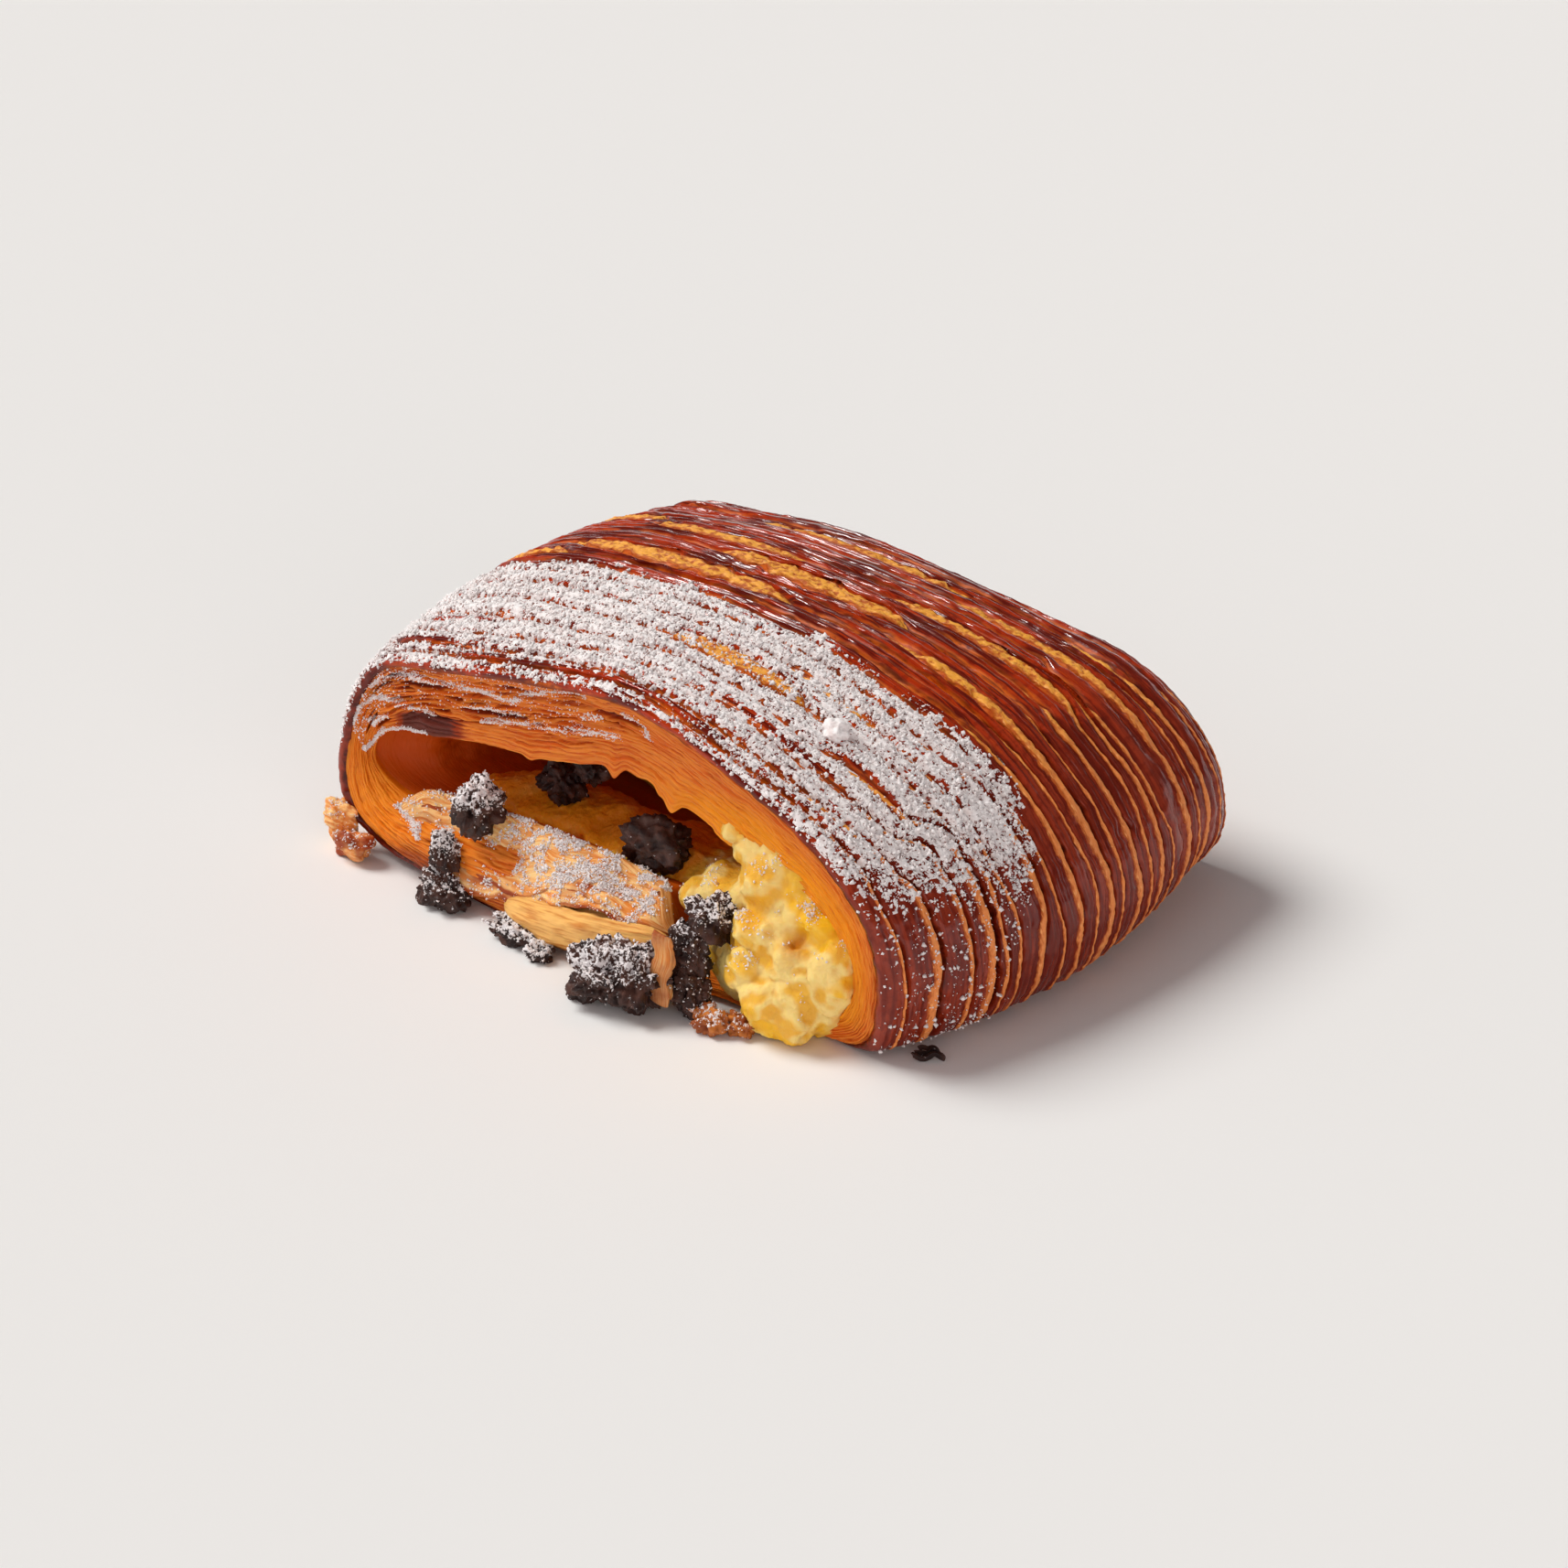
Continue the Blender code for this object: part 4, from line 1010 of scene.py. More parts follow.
# the lowest sheet's front edge and back edge, meeting at both ends: x, y, z
lipFront = [(-48, -37.4, 8.6), (-41, -38.8, 6.8), (-35, -39.8, 5.6), (-28.5, -41.1, 4.0), (-22, -41.8, 3.2),
            (-16, -42.4, 4.4), (-8.4, -42.9, 7.2), (-2, -42.8, 9.2), (4, -42.4, 10), (9, -41.8, 10),
            (14.5, -39.4, 10)]
lipBack = [(-48, -37, 9), (-42, -35.6, 10.4), (-36, -34.8, 10.7), (-30, -34.2, 10.9), (-23, -34, 11.2),
           (-15, -34, 11.4), (-8, -34, 11.4), (-1, -34, 11.3), (5, -34.2, 11.1), (10, -35.4, 10.8),
           (14.5, -39, 10.4)]


def lipSheet(number, t, w):
    # back + (front - back) w (1 - retreat number - noise) + swell 4w(1-w) + rise number + slow waves
    # shared by all sheets + 0.3 w noise of its own + 0.17 (|noise| - 0.3), and a drooping edge -0.6 w^8
    along, deep = t * lipLook["length"], w[:, None]
    front, back = openCurve(lipFront, t), openCurve(lipBack, t)
    ends = smoothStep(np.minimum(t / 0.16, (1 - t) / 0.1))
    edge = 0.13 * cloudNoise(stacked(along / 10, number * 2.1, 0), 111, 3)
    reach = 1 - (lipLook["retreat"] * number + edge) * ends
    line = back + (front - back) * (deep * reach)[..., None]
    swell = 4 * deep * (1 - deep) * lipLook["swell"] * ends
    wave = cloudNoise(stacked(line[..., 0] / 5.5 + 0.8 * deep, line[..., 1] / 3.4, 4), 113, 1)
    own = 0.3 * cloudNoise(stacked(along / 4, deep * 2.5, number * 1.7), 114, 2)
    small = 0.17 * (np.abs(cloudNoise(stacked(along / 2.6 + 2 * deep, deep * 5, number), 115, 3)) - 0.3)
    lift = lipLook["wave"] * wave * smoothStep(deep * 2) + (own * deep + small) + number * lipLook["rise"]
    line[..., 2] += swell + lift * ends - 0.6 * deep**8
    line[..., 1] -= 0.5 * swell
    return line


def buildLip(material):
    # each sheet's top, and its underside: every fourth row - normal x thickness, thinned to a tenth at
    # both ends
    t, w = np.linspace(0, 1, lipLook["columns"]), np.linspace(0, 1, lipLook["rows"])
    thick = np.sin(math.pi * np.clip(t * 4, 0, 0.5)) * np.sin(math.pi * np.clip((1 - t) * 8, 0, 0.5))
    thick = lipLook["thickness"] * np.maximum(thick, 0.1)
    tops = []
    for number in range(lipLook["sheets"]):
        top = lipSheet(number, t, w)
        normal = normalOf(np.cross(np.gradient(top, axis=1), np.gradient(top, axis=0)))
        normal = normal * np.sign(normal[..., 2:3])
        grid = keptAbove(np.concatenate([top, top[::-4] - normal[::-4] * thick[:, None]]), 0.05)
        brown = 0.1 + 0.3 * cloudNoise(grid * [0.09, 0.5, 0.5], 116)
        brown = brown + 0.3 * smoothStep((-24 - grid[..., 0]) / 14)
        # each lower sheet browner, and the undersides and drooping front edges more so: painted shade between
        # and under the sheets
        brown = brown + 0.06 * (lipLook["sheets"] - 1 - number)
        brown[len(top):] += 0.5
        brown[len(top) - 2:len(top)] += 0.3
        marks = stacked(np.clip(brown, 0, 1), 0, 0)
        across = np.concatenate([w, w[::-4]])[:, None] * 7 + 9 * number
        flow = stacked(t * lipLook["length"], across, 0)
        faces = ringFaces(*brown.shape, capped=True)
        makeMesh("lip_sheet_%d" % number, grid, faces, material, "crust", "dough", marks, flow)
        tops.append((top, normal))
    return tops


def buildRoll(material):
    # under the lip's front edge, a line that sags by sin pi t: radius (1 - |2t-1|^3.2)^0.6, with long folds
    # 1 - 0.08 |sin(4.5a + 3t + 1.2 sin 7t)|^0.5 and small wrinkles of noise
    t = np.linspace(0, 1, lipLook["rollColumns"])
    turn = np.arange(lipLook["rollSides"])[:, None] / lipLook["rollSides"] * 2 * math.pi
    sag = np.sin(math.pi * t)
    line = stacked(-19 + 34 * t, -40.6 - 1.1 * sag, 3.5 + 5.0 * t - 0.6 * sag)
    radius = (3.9 - 0.3 * t) * (1 - np.abs(2 * t - 1) ** 3.2) ** 0.6 + 0.05
    folds = 1 - 0.08 * np.abs(np.sin(turn * 4.5 + 3 * t + 1.2 * np.sin(7 * t))) ** 0.5
    wrinkle = cloudNoise(stacked(t * 9, 2 * np.cos(turn), 2 * np.sin(turn)), 121)
    size = radius * (folds + 0.1 * wrinkle)
    grid = keptAbove(line + stacked(0, np.cos(turn) * size * 0.8, np.sin(turn) * size), 0.05)
    # third mark: painted shade on the roll's underside
    marks = stacked(0.15 + 0 * size, 1, smoothStep((-0.45 - np.sin(turn)) / 0.5))
    flow = stacked(t * lipLook["length"] / 2, turn * 3, 0)
    makeMesh("lip_roll", grid, ringFaces(*size.shape, capped=True), material, "crust", "dough", marks, flow)


def leafMaterial():
    # marks: brownness, with painted shade between and under the sheets, rolled lip, painted shade on the
    # roll's underside
    material, tree, shader = newMaterial("dough_leaf", {
        "IOR": 1.45, "Specular IOR Level": 0.35, "Subsurface Weight": 0.15, "Subsurface Scale": 0.0012,
        "Subsurface Radius": (1.0, 0.45, 0.15)})
    brown, roll, foot = readMarks(tree)
    flow, place = readFlow(tree), readPlace(tree)
    lines = grain(flow, 1.0, 4, (0.2, 1.9, 1))
    blotch = grain(place, 240, 3)
    skin = mixed(between(strewn(lines, blotch, 0.5), 0.34, 0.66), lipLook["orange"], lipLook["light"])
    skin = mixed(between(strewn(brown, blotch, 0.9), 0.25, 0.75), skin, lipLook["brown"])
    skin = mixed(roll, skin, mixed(between(lines, 0.25, 0.6), lipLook["rollShade"], lipLook["roll"]))
    # painted shade on the roll's underside
    skin = mixed(foot, skin, lipLook["rollShade"])
    joinShader(shader, skin, bumped(lines, 0.6, 0.0004), times(blotch, 0.3, 0.3))
    return material


doughLeaf = leafMaterial()
lipTops = buildLip(doughLeaf)
buildRoll(doughLeaf)
print("lower lip done")


# the loose flakes: centre, size along x, y, z, turn and lean in degrees, brownness
flakes = {"flake_upright": ((18.4, -46.6, 8.2), (4.4, 1.3, 11.4), 8, -7, 0.5),
          "flake_right": ((56.6, -30.2, 0.9), (4.8, 2.6, 1.2), 25, 6, 1.0)}
# and the torn lumps at the left foot: centre, radii, brownness, seed
leftLumps = {"flake_left_chunk": ((-56.4, -38.2, 4.6), (3.6, 2.6, 3.8), 0.1, 141),
             "flake_left_foot": ((-51.6, -40.4, 2.6), (3.6, 2.2, 2.5), 0.6, 145)}
flakeLook = {
    "steps": 40,                # points along a flake
    "sides": 24,                # and round it
    "thickness": 0.45,          # of each of its three sheets, mm
    "curl": 0.3,                # how far their edges bend up
    "dusting": 0.6,             # powdered sugar on the lumps
}


def ribbon(name, node, line, across, half, material, brown):
    # a flat rounded section, across |cos a|^0.7 half + normal (sin a thickness / 2 + curl cos^2 a), along
    # the line
    tangent = normalOf(np.gradient(line, axis=0))
    across = normalOf(across - tangent * (across * tangent).sum(-1, keepdims=True))
    normal = np.cross(tangent, across)
    turn = np.arange(flakeLook["sides"])[:, None] / flakeLook["sides"] * 2 * math.pi
    wide = np.sign(np.cos(turn)) * np.abs(np.cos(turn)) ** 0.7 * half
    high = np.sin(turn) * flakeLook["thickness"] / 2 + flakeLook["curl"] * np.cos(turn) ** 2
    grid = line + across * wide[..., None] + normal * high[..., None]
    grid = keptAbove(grid + 0.07 * cloudNoise(grid / 0.9, 101)[..., None] * normal, 0.04)
    walk = np.concatenate([[0], np.cumsum(np.linalg.norm(np.diff(line, axis=0), axis=1))])
    marks, flow = stacked(brown + 0 * wide, 0, 0), stacked(walk, wide * 3, 0)
    makeMesh(name, grid, ringFaces(*wide.shape, capped=True), material, "flake", node, marks, flow)


def buildFlake(name, centre, size, turn, lean, brown, material):
    # three thin torn sheets one on another, each a ribbon along the flake's longer side: to the side by
    # thickness (0.3 (layer - 1) + 0.25 sin(5t + layer)), its half width less 0.18 |sin(9t + 2 layer)| +
    # 0.1 |noise|
    width, thickness, height = size
    upright = height >= width
    long, short = (height, width) if upright else (width, height)
    a, b = math.radians(turn), math.radians(lean)
    spin = np.array([(math.cos(a), -math.sin(a), 0), (math.sin(a), math.cos(a), 0), (0, 0, 1)])
    tilt = np.array([(1, 0, 0), (0, math.cos(b), -math.sin(b)), (0, math.sin(b), math.cos(b))])
    t = np.linspace(-0.5, 0.5, flakeLook["steps"])
    for layer in range(3):
        jag = np.abs(spotNoise(stacked(t * 12, layer, 0), 131))
        edge = 1 - 0.18 * np.abs(np.sin(9 * t + 2 * layer)) - 0.1 * jag
        bend = (layer - 1) * thickness * 0.3 + 0.25 * thickness * np.sin(5 * t + layer)
        line = stacked(t * long * (0.95 - 0.08 * layer), bend, 0.25 * np.sin(11 * t))
        across = np.array([1.0, 0.12 * (layer - 1), 0]) if upright else np.array([0, 0.3 * (layer - 1), 1.0])
        line = (line[:, [2, 1, 0]] if upright else line) @ (spin @ tilt).T + centre
        half = short / 2 * edge * (1 - 0.1 * layer)
        ribbon("%s_sheet_%d" % (name, layer), name, line, spin @ tilt @ across, half, material, brown)


def buildLeftLump(name, centre, radii, brown, seed, material):
    # a torn lump of dough: an icosphere's radius 0.9 + 0.35 noise, in sheets 0.5 |noise| pressed along
    # one slope
    points, triangles = ball(5)
    shape = 0.9 + 0.35 * cloudNoise(points * 1.5, seed, 2)[:, None]
    place = points * shape * radii + centre
    sheets = 0.5 * np.abs(cloudNoise(place * [0.25, 0.3, 0.9], seed + 1, 2))
    place = keptAbove(place + points * (sheets + 0.14 * cloudNoise(place / 0.7, seed + 2))[:, None], 0.03)
    marks = stacked(np.clip(brown + 0.3 * cloudNoise(place / 2, seed + 3), 0, 1), 0, 0)
    makeMesh(name, place, [triangles], material, "flake", "flake_left", marks, place * [1, 1, 2])
    return place, points, flakeLook["dusting"]


leftTops = [buildLeftLump(name, *lump, doughLeaf) for name, lump in leftLumps.items()]
for name, flake in flakes.items():
    buildFlake(name, *flake, chocolateCrumb if name == "flake_right" else doughLeaf)
print("flakes done")


# the powdered sugar
sugarLook = {
    "columnStep": 0.34,         # mm
    "rowStep": 0.26,
    "depth": 0.2,               # mm
    "clump": 0.62,              # size of the powder's clumps, mm
    "white": colour(250, 245, 243),
    "shade": colour(236, 225, 222),
    "through": colour(120, 66, 50),
}
# how far behind the rim the powder reaches, at places round the section
sugarReach = [(0.2, 12), (0.26, 20), (0.31, 25.5), (0.343, 25.8), (0.393, 29), (0.444, 31.4), (0.494, 31.6),
              (0.545, 30.6), (0.612, 31.9), (0.646, 33), (0.68, 34), (0.713, 33), (0.747, 28), (0.8, 20)]
# bare stretches in it: place round, mm behind the rim, half length, half width in mm
sugarGaps = [(0.556, 18.2, 0.045, 2.3), (0.47, 2.6, 0.06, 1.1), (0.55, 3.0, 0.05, 0.9),
             (0.37, 6, 0.05, 0.8), (0.66, 14.5, 0.03, 1.2), (0.40, 12, 0.05, 0.7), (0.62, 10.0, 0.05, 0.7)]
# lines of powder caught on the mouth's face: places round and shares across it
faceSugarLines = [[(0.315, 0.12), (0.345, 0.16), (0.371, 0.14), (0.409, 0.24), (0.428, 0.28), (0.448, 0.33),
                   (0.462, 0.2), (0.478, 0.11), (0.504, 0.1)],
                  [(0.275, 0.1), (0.297, 0.16), (0.328, 0.41), (0.353, 0.59), (0.38, 0.71)],
                  [(0.268, 0.6), (0.271, 0.71), (0.29, 0.9), (0.32, 0.95), (0.349, 0.97), (0.371, 0.99)],
                  [(0.3, 0.5), (0.31, 0.72), (0.335, 0.74)], [(0.5, 0.42), (0.508, 0.36), (0.515, 0.4)],
                  [(0.53, 0.2), (0.545, 0.28), (0.552, 0.4)], [(0.41, 0.5), (0.43, 0.47), (0.455, 0.5)],
                  [(0.42, 0.68), (0.45, 0.6), (0.49, 0.62), (0.53, 0.56)],
                  [(0.13, 0.55), (0.15, 0.7), (0.19, 0.78)], [(0.12, 0.8), (0.15, 0.9), (0.185, 0.93)]]


def sugarCover(u, behind):
    # 1 inside the dusted band, falling off past its back edge, towards the right side, a little further
    # forward, and down the left; less in the gaps, 1 - 0.9 exp(-d^4)
    edge = np.interp(u, *np.array(sugarReach).T) + 1.4 * cloudNoise(stacked(u * 60, 0 * behind, 0), 91)
    back = smoothStep((edge - behind) / 3.6 + 0.5)
    right = 1 - smoothStep((u - 0.662 - 0.0014 * behind) / 0.075)
    left = smoothStep((u - 0.235) / 0.05)
    front = smoothStep((behind - 0.1) / 0.5) * (0.7 + 0.3 * smoothStep((behind - 4.5) / 2))
    cover = back * (0.05 + 0.95 * right) * left * front
    for place, middle, length, width in sugarGaps:
        cover = cover * (1 - 0.9 * np.exp(-(((u - place) / length) ** 4) - ((behind - middle) / width) ** 4))
    return np.clip(cover, 0, 1)


def onCrust(u, behind):
    # the crust's ridged surface read at other places: linear between the rows of the columns beside u,
    # then between the two; each column's rows are searched in one long row, a metre further on than the
    # last column's
    u, behind = np.broadcast_arrays(u, behind)
    column = np.interp(u, crustRound, np.arange(len(crustRound)))
    left = np.minimum(np.floor(column).astype(int), len(crustRound) - 2)
    rows, far = len(crustBehind), 1000.0
    flat = (crustBehind + far * np.arange(len(crustRound))).T.ravel()
    grid = np.concatenate([crustOuter, crustNormal, crustHeight[..., None]], -1).swapaxes(0, 1).reshape(-1, 7)
    total = 0
    for beside in (0, 1):
        i = left + beside
        at = np.clip(np.searchsorted(flat, behind + far * i), i * rows + 1, i * rows + rows - 1)
        part = np.clip((behind + far * i - flat[at - 1]) / (flat[at] - flat[at - 1] + 1e-9), 0, 1)[..., None]
        share = np.abs(1 - beside - (column - left))[..., None]
        total = total + share * (grid[at - 1] * (1 - part) + grid[at] * part)
    return total[..., :3], normalOf(total[..., 3:6]), total[..., 6]


def onFace(u, share):
    # the mouth's relief face read at pairs of other places, linear both ways
    column = np.interp(u, mouthRound, np.arange(len(mouthRound)))
    row = share * len(mouthFace) - 0.5
    i = np.clip(np.floor(column).astype(int), 0, len(mouthRound) - 2)
    j = np.clip(np.floor(row).astype(int), 0, len(mouthFace) - 2)
    t, s = (column - i)[:, None], np.clip(row - j, 0, 1)[:, None]
    place, normal = ((grid[j, i] * (1 - t) + grid[j, i + 1] * t) * (1 - s)
                     + (grid[j + 1, i] * (1 - t) + grid[j + 1, i + 1] * t) * s
                     for grid in (mouthFace, mouthOut))
    return place, normalOf(normal)


def buildCoat(material):
    # a skin over the crust: value = 1.05 cover - 0.87 + 0.95 noise + 0.2 lumps + 0.42 crest, thickness =
    # depth (clip(2.6 value) + 0.25 fine noise + 0.3 lumps), sunk where bare and round its edge, over a
    # plain underside
    u = np.arange(0.25, 0.735, sugarLook["columnStep"] / girth)
    reach = np.interp(u, *np.array(sugarReach).T) + 3
    behind = 0.3 + np.arange(0, 1, sugarLook["rowStep"] / reach.max())[:, None] * (reach - 0.3)
    place, normal, height = onCrust(u, behind)
    cover = sugarCover(u, behind)
    crest = np.clip((height - 0.5) / 0.6, -1.5, 1)
    lumps = cloudNoise(place / 2.4, 93, 2)
    clumps = cloudNoise(place / sugarLook["clump"], 92, 2)
    value = 1.05 * cover - 0.87 + 0.95 * clumps + 0.2 * lumps + 0.42 * crest
    value = np.clip(2.6 * np.where(cover < 0.02, -1, value), -1, 1)
    thick = sugarLook["depth"] * (value + 0.25 * spotNoise(place / 0.3, 94) + 0.3 * np.clip(lumps, 0, 1))
    thick[[0, -1]] = thick[:, [0, -1]] = -0.5
    under = np.linspace(len(place) - 1, 0, 8).astype(int)[1:-1]
    grid = np.concatenate([place + normal * thick[..., None], place[under] - normal[under] * 0.9])
    grid = keptAbove(grid, 0.04)
    makeMesh("sugar_coat", grid, ringFaces(*grid.shape[:2], capped=True), material, "sugar")


def sugarMaterial():
    # the noise's darkest spots let the crust show through
    material, tree, shader = newMaterial("icing_sugar", {
        "Roughness": 0.9, "Subsurface Weight": 0.2, "Subsurface Scale": 0.0004,
        "Subsurface Radius": (1.0, 0.95, 0.9)})
    place = readPlace(tree)
    white = mixed(between(grain(place, 900, 3), 0.25, 0.6), sugarLook["shade"], sugarLook["white"])
    holes = between(grain(place, 1700, 3, rough=0.65), 0.45, 0.38)
    joinShader(shader, mixed(holes, white, sugarLook["through"]), bumped(grain(place, 3200, 3), 0.6, 0.0003))
    return material


def crystalMaterial():
    # white, a little darker in the noise's hollows
    material, tree, shader = newMaterial("sugar_crystal", {
        "Roughness": 0.75, "Subsurface Weight": 0.3, "Subsurface Scale": 0.0004,
        "Subsurface Radius": (1.0, 0.97, 0.94)})
    patch = between(grain(readPlace(tree), 700, 2), 0.3, 0.6)
    joinShader(shader, mixed(patch, sugarLook["shade"], sugarLook["white"]))
    return material


def scatterGrains(name, places, small, large, material, seed, smooth):
    # eight-sided grains: six corners along the axes, each strayed by 0.32, radius small + (large - small)
    # r^2.5, sunk so that the middle lies 0.15 to 0.65 of it above the surface
    place, normal = places
    chance = np.random.default_rng(seed)
    size = small + (large - small) * chance.random(len(place)) ** 2.5
    corner = np.repeat(np.eye(3), 2, 0) * [[1], [-1], [1], [-1], [1], [-1]]
    shape = corner + chance.normal(0, 0.32, (len(place), 6, 3))
    middle = place + normal * (size * (0.15 + 0.5 * chance.random(len(place))))[:, None]
    points = keptAbove(middle[:, None] + shape * size[:, None, None], 0.02)
    sides = np.array([(0, 2, 4), (2, 1, 4), (1, 3, 4), (3, 0, 4), (2, 0, 5), (1, 2, 5), (3, 1, 5), (0, 3, 5)])
    faces = sides + 6 * np.arange(len(place))[:, None, None]
    makeMesh(name, points, [faces.reshape(-1, 3)], material, "sugar", smooth=smooth)


def bandPlaces(count, seed, rough, thin):
    # random places in the dusted band: kept where cover (0.44 + 0.42 crest + rough noise) + thin beats a
    # random number
    chance = np.random.default_rng(seed)
    u, behind = chance.uniform(0.2, 0.86, count * 9), chance.uniform(0.15, 40, count * 9)
    cover = sugarCover(u, behind)
    place, normal, height = onCrust(u, behind)
    crest = np.clip((height - 0.4) / 0.6, -1.5, 1)
    noise = cloudNoise(place / 0.9, 95, 2)
    likely = np.clip(cover * (0.44 + 0.42 * crest + rough * noise) + thin, 0, 1) * (cover + thin > 0.01)
    pick = np.flatnonzero(chance.random(len(u)) < likely)
    pick = np.sort(chance.permutation(pick)[:count])
    return place[pick], normal[pick]


def facePlaces(count, seed):
    # along the powder lines by their length, spread about 0.35 mm round and 0.2 mm across, and a sixth as
    # many strewn over the upper left of the face
    chance = np.random.default_rng(seed)
    lines = [np.array(line) * [girth, faceWidth] for line in faceSugarLines]
    lengths = np.array([np.linalg.norm(np.diff(line, axis=0), axis=1).sum() for line in lines])
    u, s = [], []
    for line, length in zip(lines, lengths / lengths.sum()):
        t = chance.random(int(count * length)) * (len(line) - 1)
        wide = 0.5 + 0.8 * np.abs(spotNoise(stacked(t * 4, 0, length), 96))
        spread = chance.normal(0, 1, (2, len(t))) * wide
        u.append(np.interp(t, np.arange(len(line)), line[:, 0]) / girth + 0.0012 * spread[0])
        s.append(np.interp(t, np.arange(len(line)), line[:, 1]) / faceWidth + 0.024 * spread[1])
    u.append(chance.uniform(0.27, 0.5, count // 6))
    s.append(chance.random(count // 6) ** 1.5 * 0.6)
    return onFace(np.concatenate(u), np.clip(np.concatenate(s), 0.01, 0.99))


def pickPlaces(place, normal, weight, count, chance):
    # random points of a surface, by weight, each strayed by about 0.12 mm
    pick = chance.choice(len(place), count, p=weight / weight.sum())
    return place[pick] + chance.normal(0, 0.12, (count, 3)), normal[pick]


def lipPlaces(count, seed):
    # over the lip's sheets, in clumps (0.42 + 1.2 noise)^1.2, most of it from the middle to the right and
    # away from the front edge
    chance = np.random.default_rng(seed)
    place, normal = (np.concatenate([grid.reshape(-1, 3) for grid in grids]) for grids in zip(*lipTops))
    x, y = place.T[:2]
    weight = np.clip(0.42 + 1.2 * cloudNoise(place / 1.5, 97, 3), 0.02, 1) ** 1.2
    weight = weight * smoothStep((normal[:, 2] - 0.1) / 0.5)
    weight = weight * (0.15 + 0.85 * smoothStep((x + 32) / 14)) * smoothStep((y + 43) / 3)
    return pickPlaces(place, normal, weight * smoothStep((13 - x) / 4), count, chance)


def toppingPlaces(custardCount, crumbCount, seed):
    # on the upper sides of the custard and of the crumbs, in clumps 0.1 + 1.4 noise and 0.3 + 1.6 noise,
    # and twice as many on the two largest crumbs
    chance = np.random.default_rng(seed)
    up = smoothStep((custardNormal[:, 2] - 0.25) / 0.5) * (custardPlace[:, 1] < -31)
    weight = up * np.clip(0.1 + 1.4 * cloudNoise(custardPlace / 3, 98, 2), 0.0, 1) + 1e-6
    groups = [pickPlaces(custardPlace, custardNormal, weight, custardCount, chance)]
    for place, normal, dusted in crumbTops + leftTops:
        if dusted:
            clumps = np.clip(0.3 + 1.6 * cloudNoise(place / 0.9, 99, 2), 0.02, 1)
            weight = (0.1 + 0.9 * smoothStep((normal[:, 2] + 0.45) / 1.2)) * clumps
            count = int(crumbCount * dusted * (2 if len(place) > 20000 else 1))
            groups.append(pickPlaces(place, normal, weight, count, chance))
    return (np.concatenate(arrays) for arrays in zip(*groups))


def buildLump(material):
    # an icosphere in the node's box, its radius 0.95 + 0.22 noise, roughened by 0.12 mm
    low, high = nodeBox("sugar_lump")
    points, triangles = ball(5)
    shape = 0.95 + 0.22 * cloudNoise(points * 1.7, 151)[:, None]
    place = (low + high) / 2 + points * (high - low) / 2 * shape
    place = place + points * (0.12 * cloudNoise(place / 0.45, 152))[:, None]
    makeMesh("sugar_lump_soft", place, [triangles], material, "sugar", "sugar_lump")


buildCoat(sugarMaterial())
sugarCrystal = crystalMaterial()
buildLump(sugarCrystal)
# name, places, least and largest radius in mm, material, seed, smooth
scatterGrains("sugar_clumps", bandPlaces(24000, 5, 0.9, 0.0), 0.13, 0.42, sugarCrystal, 6, True)
scatterGrains("sugar_grains", bandPlaces(20000, 7, 0.7, 0.007), 0.07, 0.17, sugarCrystal, 8, False)
scatterGrains("sugar_face", facePlaces(9000, 9), 0.07, 0.2, sugarCrystal, 10, False)
scatterGrains("sugar_lip", lipPlaces(22000, 13), 0.08, 0.26, sugarCrystal, 14, True)
scatterGrains("sugar_toppings", toppingPlaces(1500, 440, 11), 0.07, 0.24, sugarCrystal, 12, True)
print("sugar done")


# floor, light and camera
view = {
    "turn": 40.668,             # degrees the camera stands to the right of the open end
    "rise": 27.902,             # degrees above the floor
    "away": 855.0,              # mm from the pastry's middle
    "aside": 1.975,             # mm that it aims to the right of that point
    "above": 13.09,             # and above it
    "lens": 125.3,
}
light = {
    "key": 2.53, "keyWidth": 31.0, "keyFrom": (-0.8, -0.21, 1.0), "keyColour": (1.0, 0.995, 0.97),
    "fill": 0.62, "fillWidth": 90.0, "fillFrom": (-0.4, -0.8, 0.6), "fillColour": (1.0, 0.87, 0.87),
    "gleam": 1.7, "gleamWidth": 14.0, "gleamFrom": (-0.75, 0.25, 1.0), "gleamColour": (1.0, 0.97, 0.96),
    "low": 0.72, "lowWidth": 50.0, "lowFrom": (0.8, -0.5, 0.22), "lowColour": (1.0, 0.87, 0.84),
    "horizon": 1.1, "zenith": 0.12, "horizonHeight": (0.05, 0.3), "skyColour": (1.0, 0.95, 0.98),
    "floor": colour(241, 241, 239), "floorSize": 4.0,
}


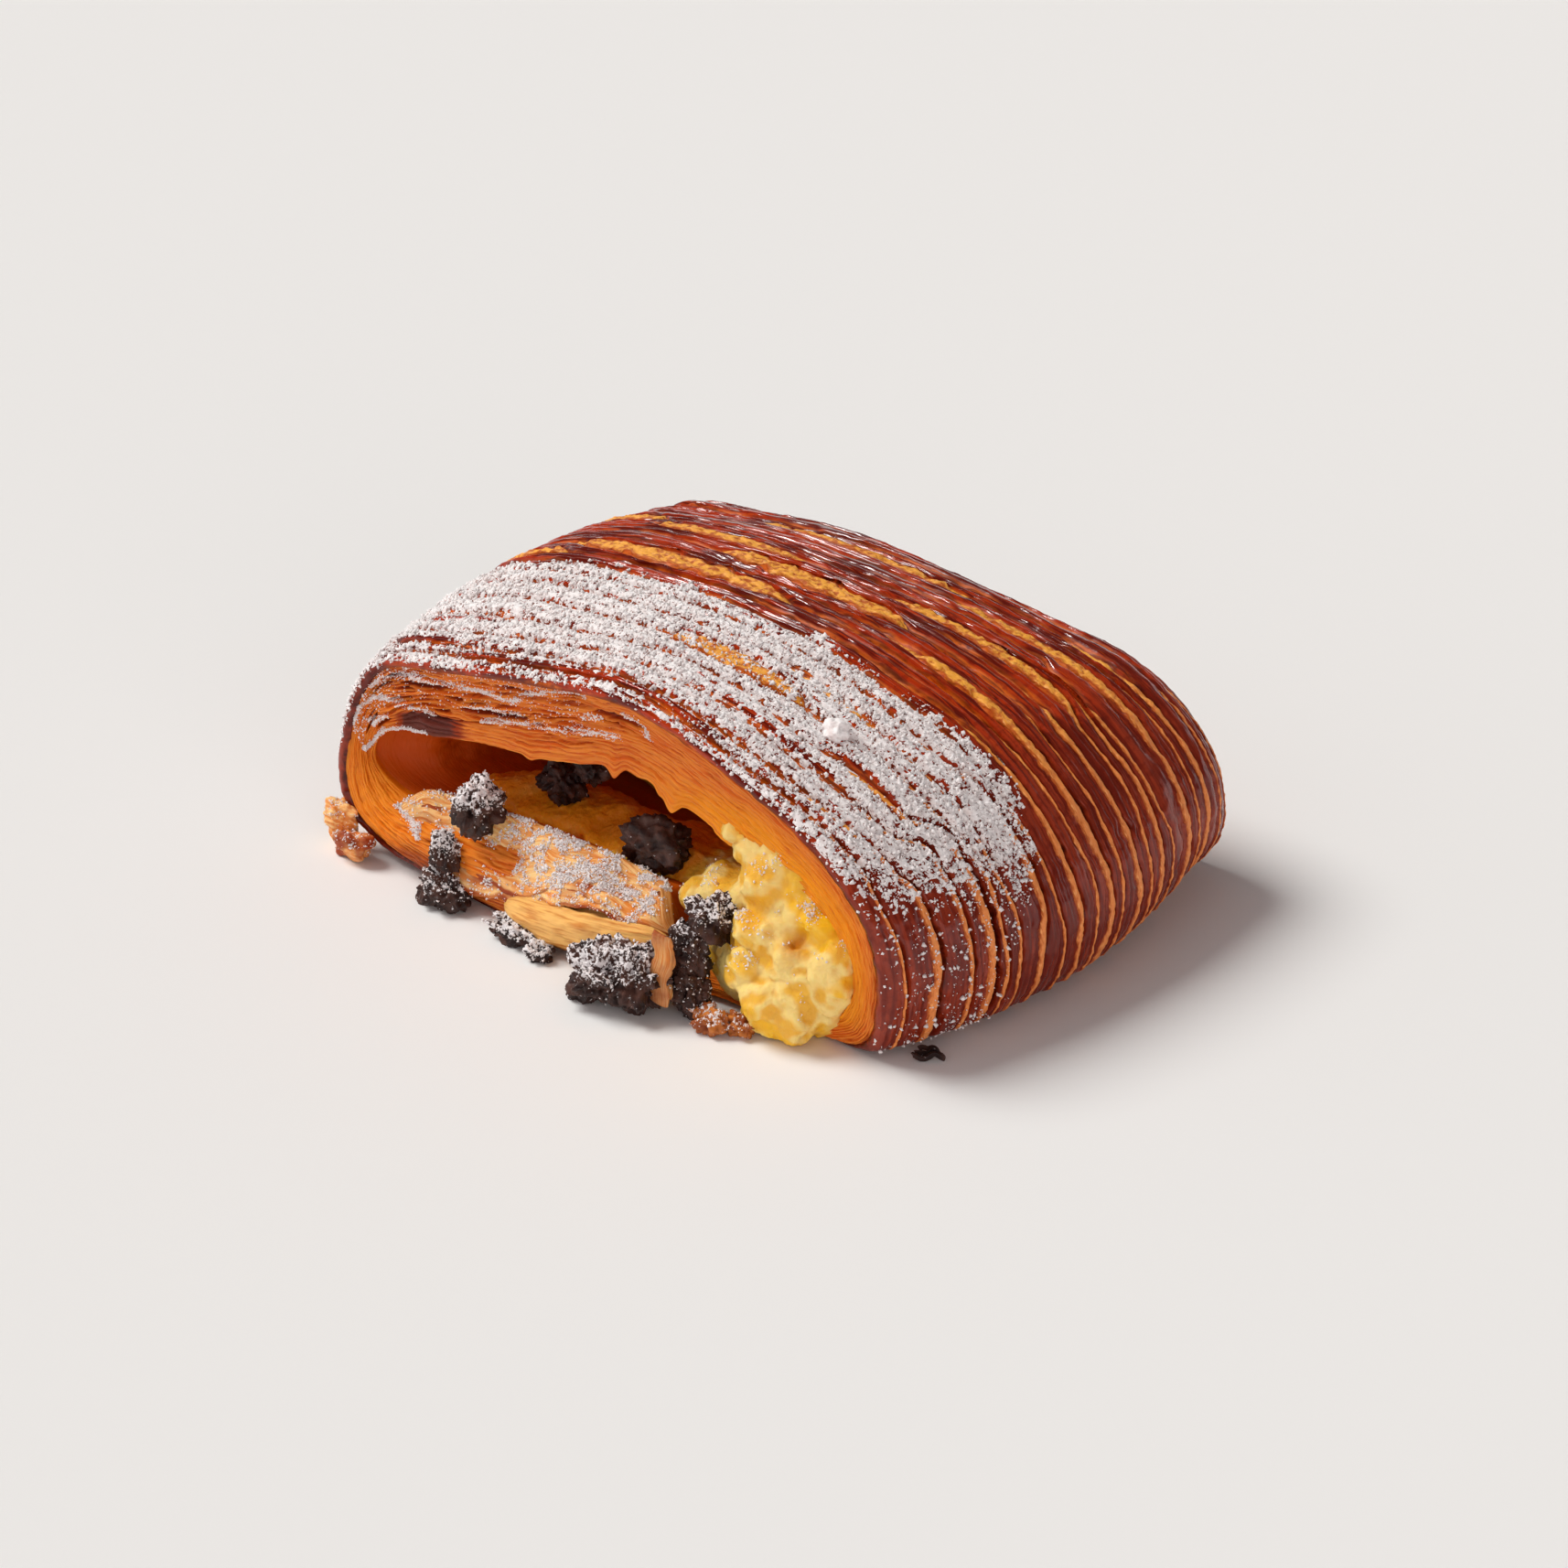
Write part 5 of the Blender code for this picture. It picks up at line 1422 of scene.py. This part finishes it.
def buildStage():
    # a wide flat floor, a sky that is bright at the horizon, as a studio's backdrop is, and dim above,
    # and four suns
    size = light["floorSize"]
    mesh = bpy.data.meshes.new("floor")
    corners = [(-size, -size, 0), (size, -size, 0), (size, size, 0), (-size, size, 0)]
    mesh.from_pydata(corners, [], [(0, 1, 2, 3)])
    finish = {"Base Color": light["floor"], "Roughness": 0.9, "Specular IOR Level": 0.0}
    mesh.materials.append(newMaterial("floor_paper", finish)[0])
    addObject("floor", mesh)
    world = bpy.data.worlds.new("studio")
    bpy.context.scene.world = world
    world.use_nodes = True
    tree = world.node_tree
    background = tree.nodes["Background"]
    upward = fedBy("ShaderNodeSeparateXYZ", {0: addNode(tree, "ShaderNodeTexCoord").outputs["Generated"]}, 2)
    low, high = light["horizonHeight"]
    glow = fedBy("ShaderNodeMapRange", {0: upward, 1: low, 2: high, 3: light["horizon"], 4: light["zenith"]},
                 interpolation_type="SMOOTHSTEP")
    background.inputs["Color"].default_value = light["skyColour"] + (1,)
    tree.links.new(glow, background.inputs["Strength"])
    # the gleam shows only as a reflection, and the others only as light
    for name in ("key", "fill", "low", "gleam"):
        lamp = bpy.data.lights.new(name, "SUN")
        lamp.energy = light[name]
        lamp.angle = math.radians(light[name + "Width"])
        lamp.color = light[name + "Colour"]
        thing = addObject(name, lamp)
        thing.rotation_euler = Vector(light[name + "From"]).to_track_quat("Z", "Y").to_euler()
        thing.visible_glossy = name == "gleam"
        thing.visible_diffuse = name != "gleam"


def buildCamera():
    # away from the origin along the view's turn and rise, aimed a little to the right of it and above
    turn, rise = math.radians(view["turn"]), math.radians(view["rise"])
    back = np.array([math.sin(turn) * math.cos(rise), -math.cos(turn) * math.cos(rise), math.sin(rise)])
    right = np.array([math.cos(turn), math.sin(turn), 0])
    up = np.cross(back, right)
    data = bpy.data.cameras.new("camera")
    data.lens = view["lens"]
    data.sensor_width = 36
    data.clip_start, data.clip_end = 0.05, 20
    camera = addObject("camera", data)
    camera.location = (back * view["away"] / 1000 + origin).tolist()
    aim = (right * view["aside"] + up * view["above"]) / 1000 + origin
    camera.rotation_euler = (Vector(aim) - camera.location).to_track_quat("-Z", "Y").to_euler()
    bpy.context.scene.camera = camera


buildStage()
buildCamera()
bpy.context.scene.view_settings.view_transform = "Standard"
print("stage done")
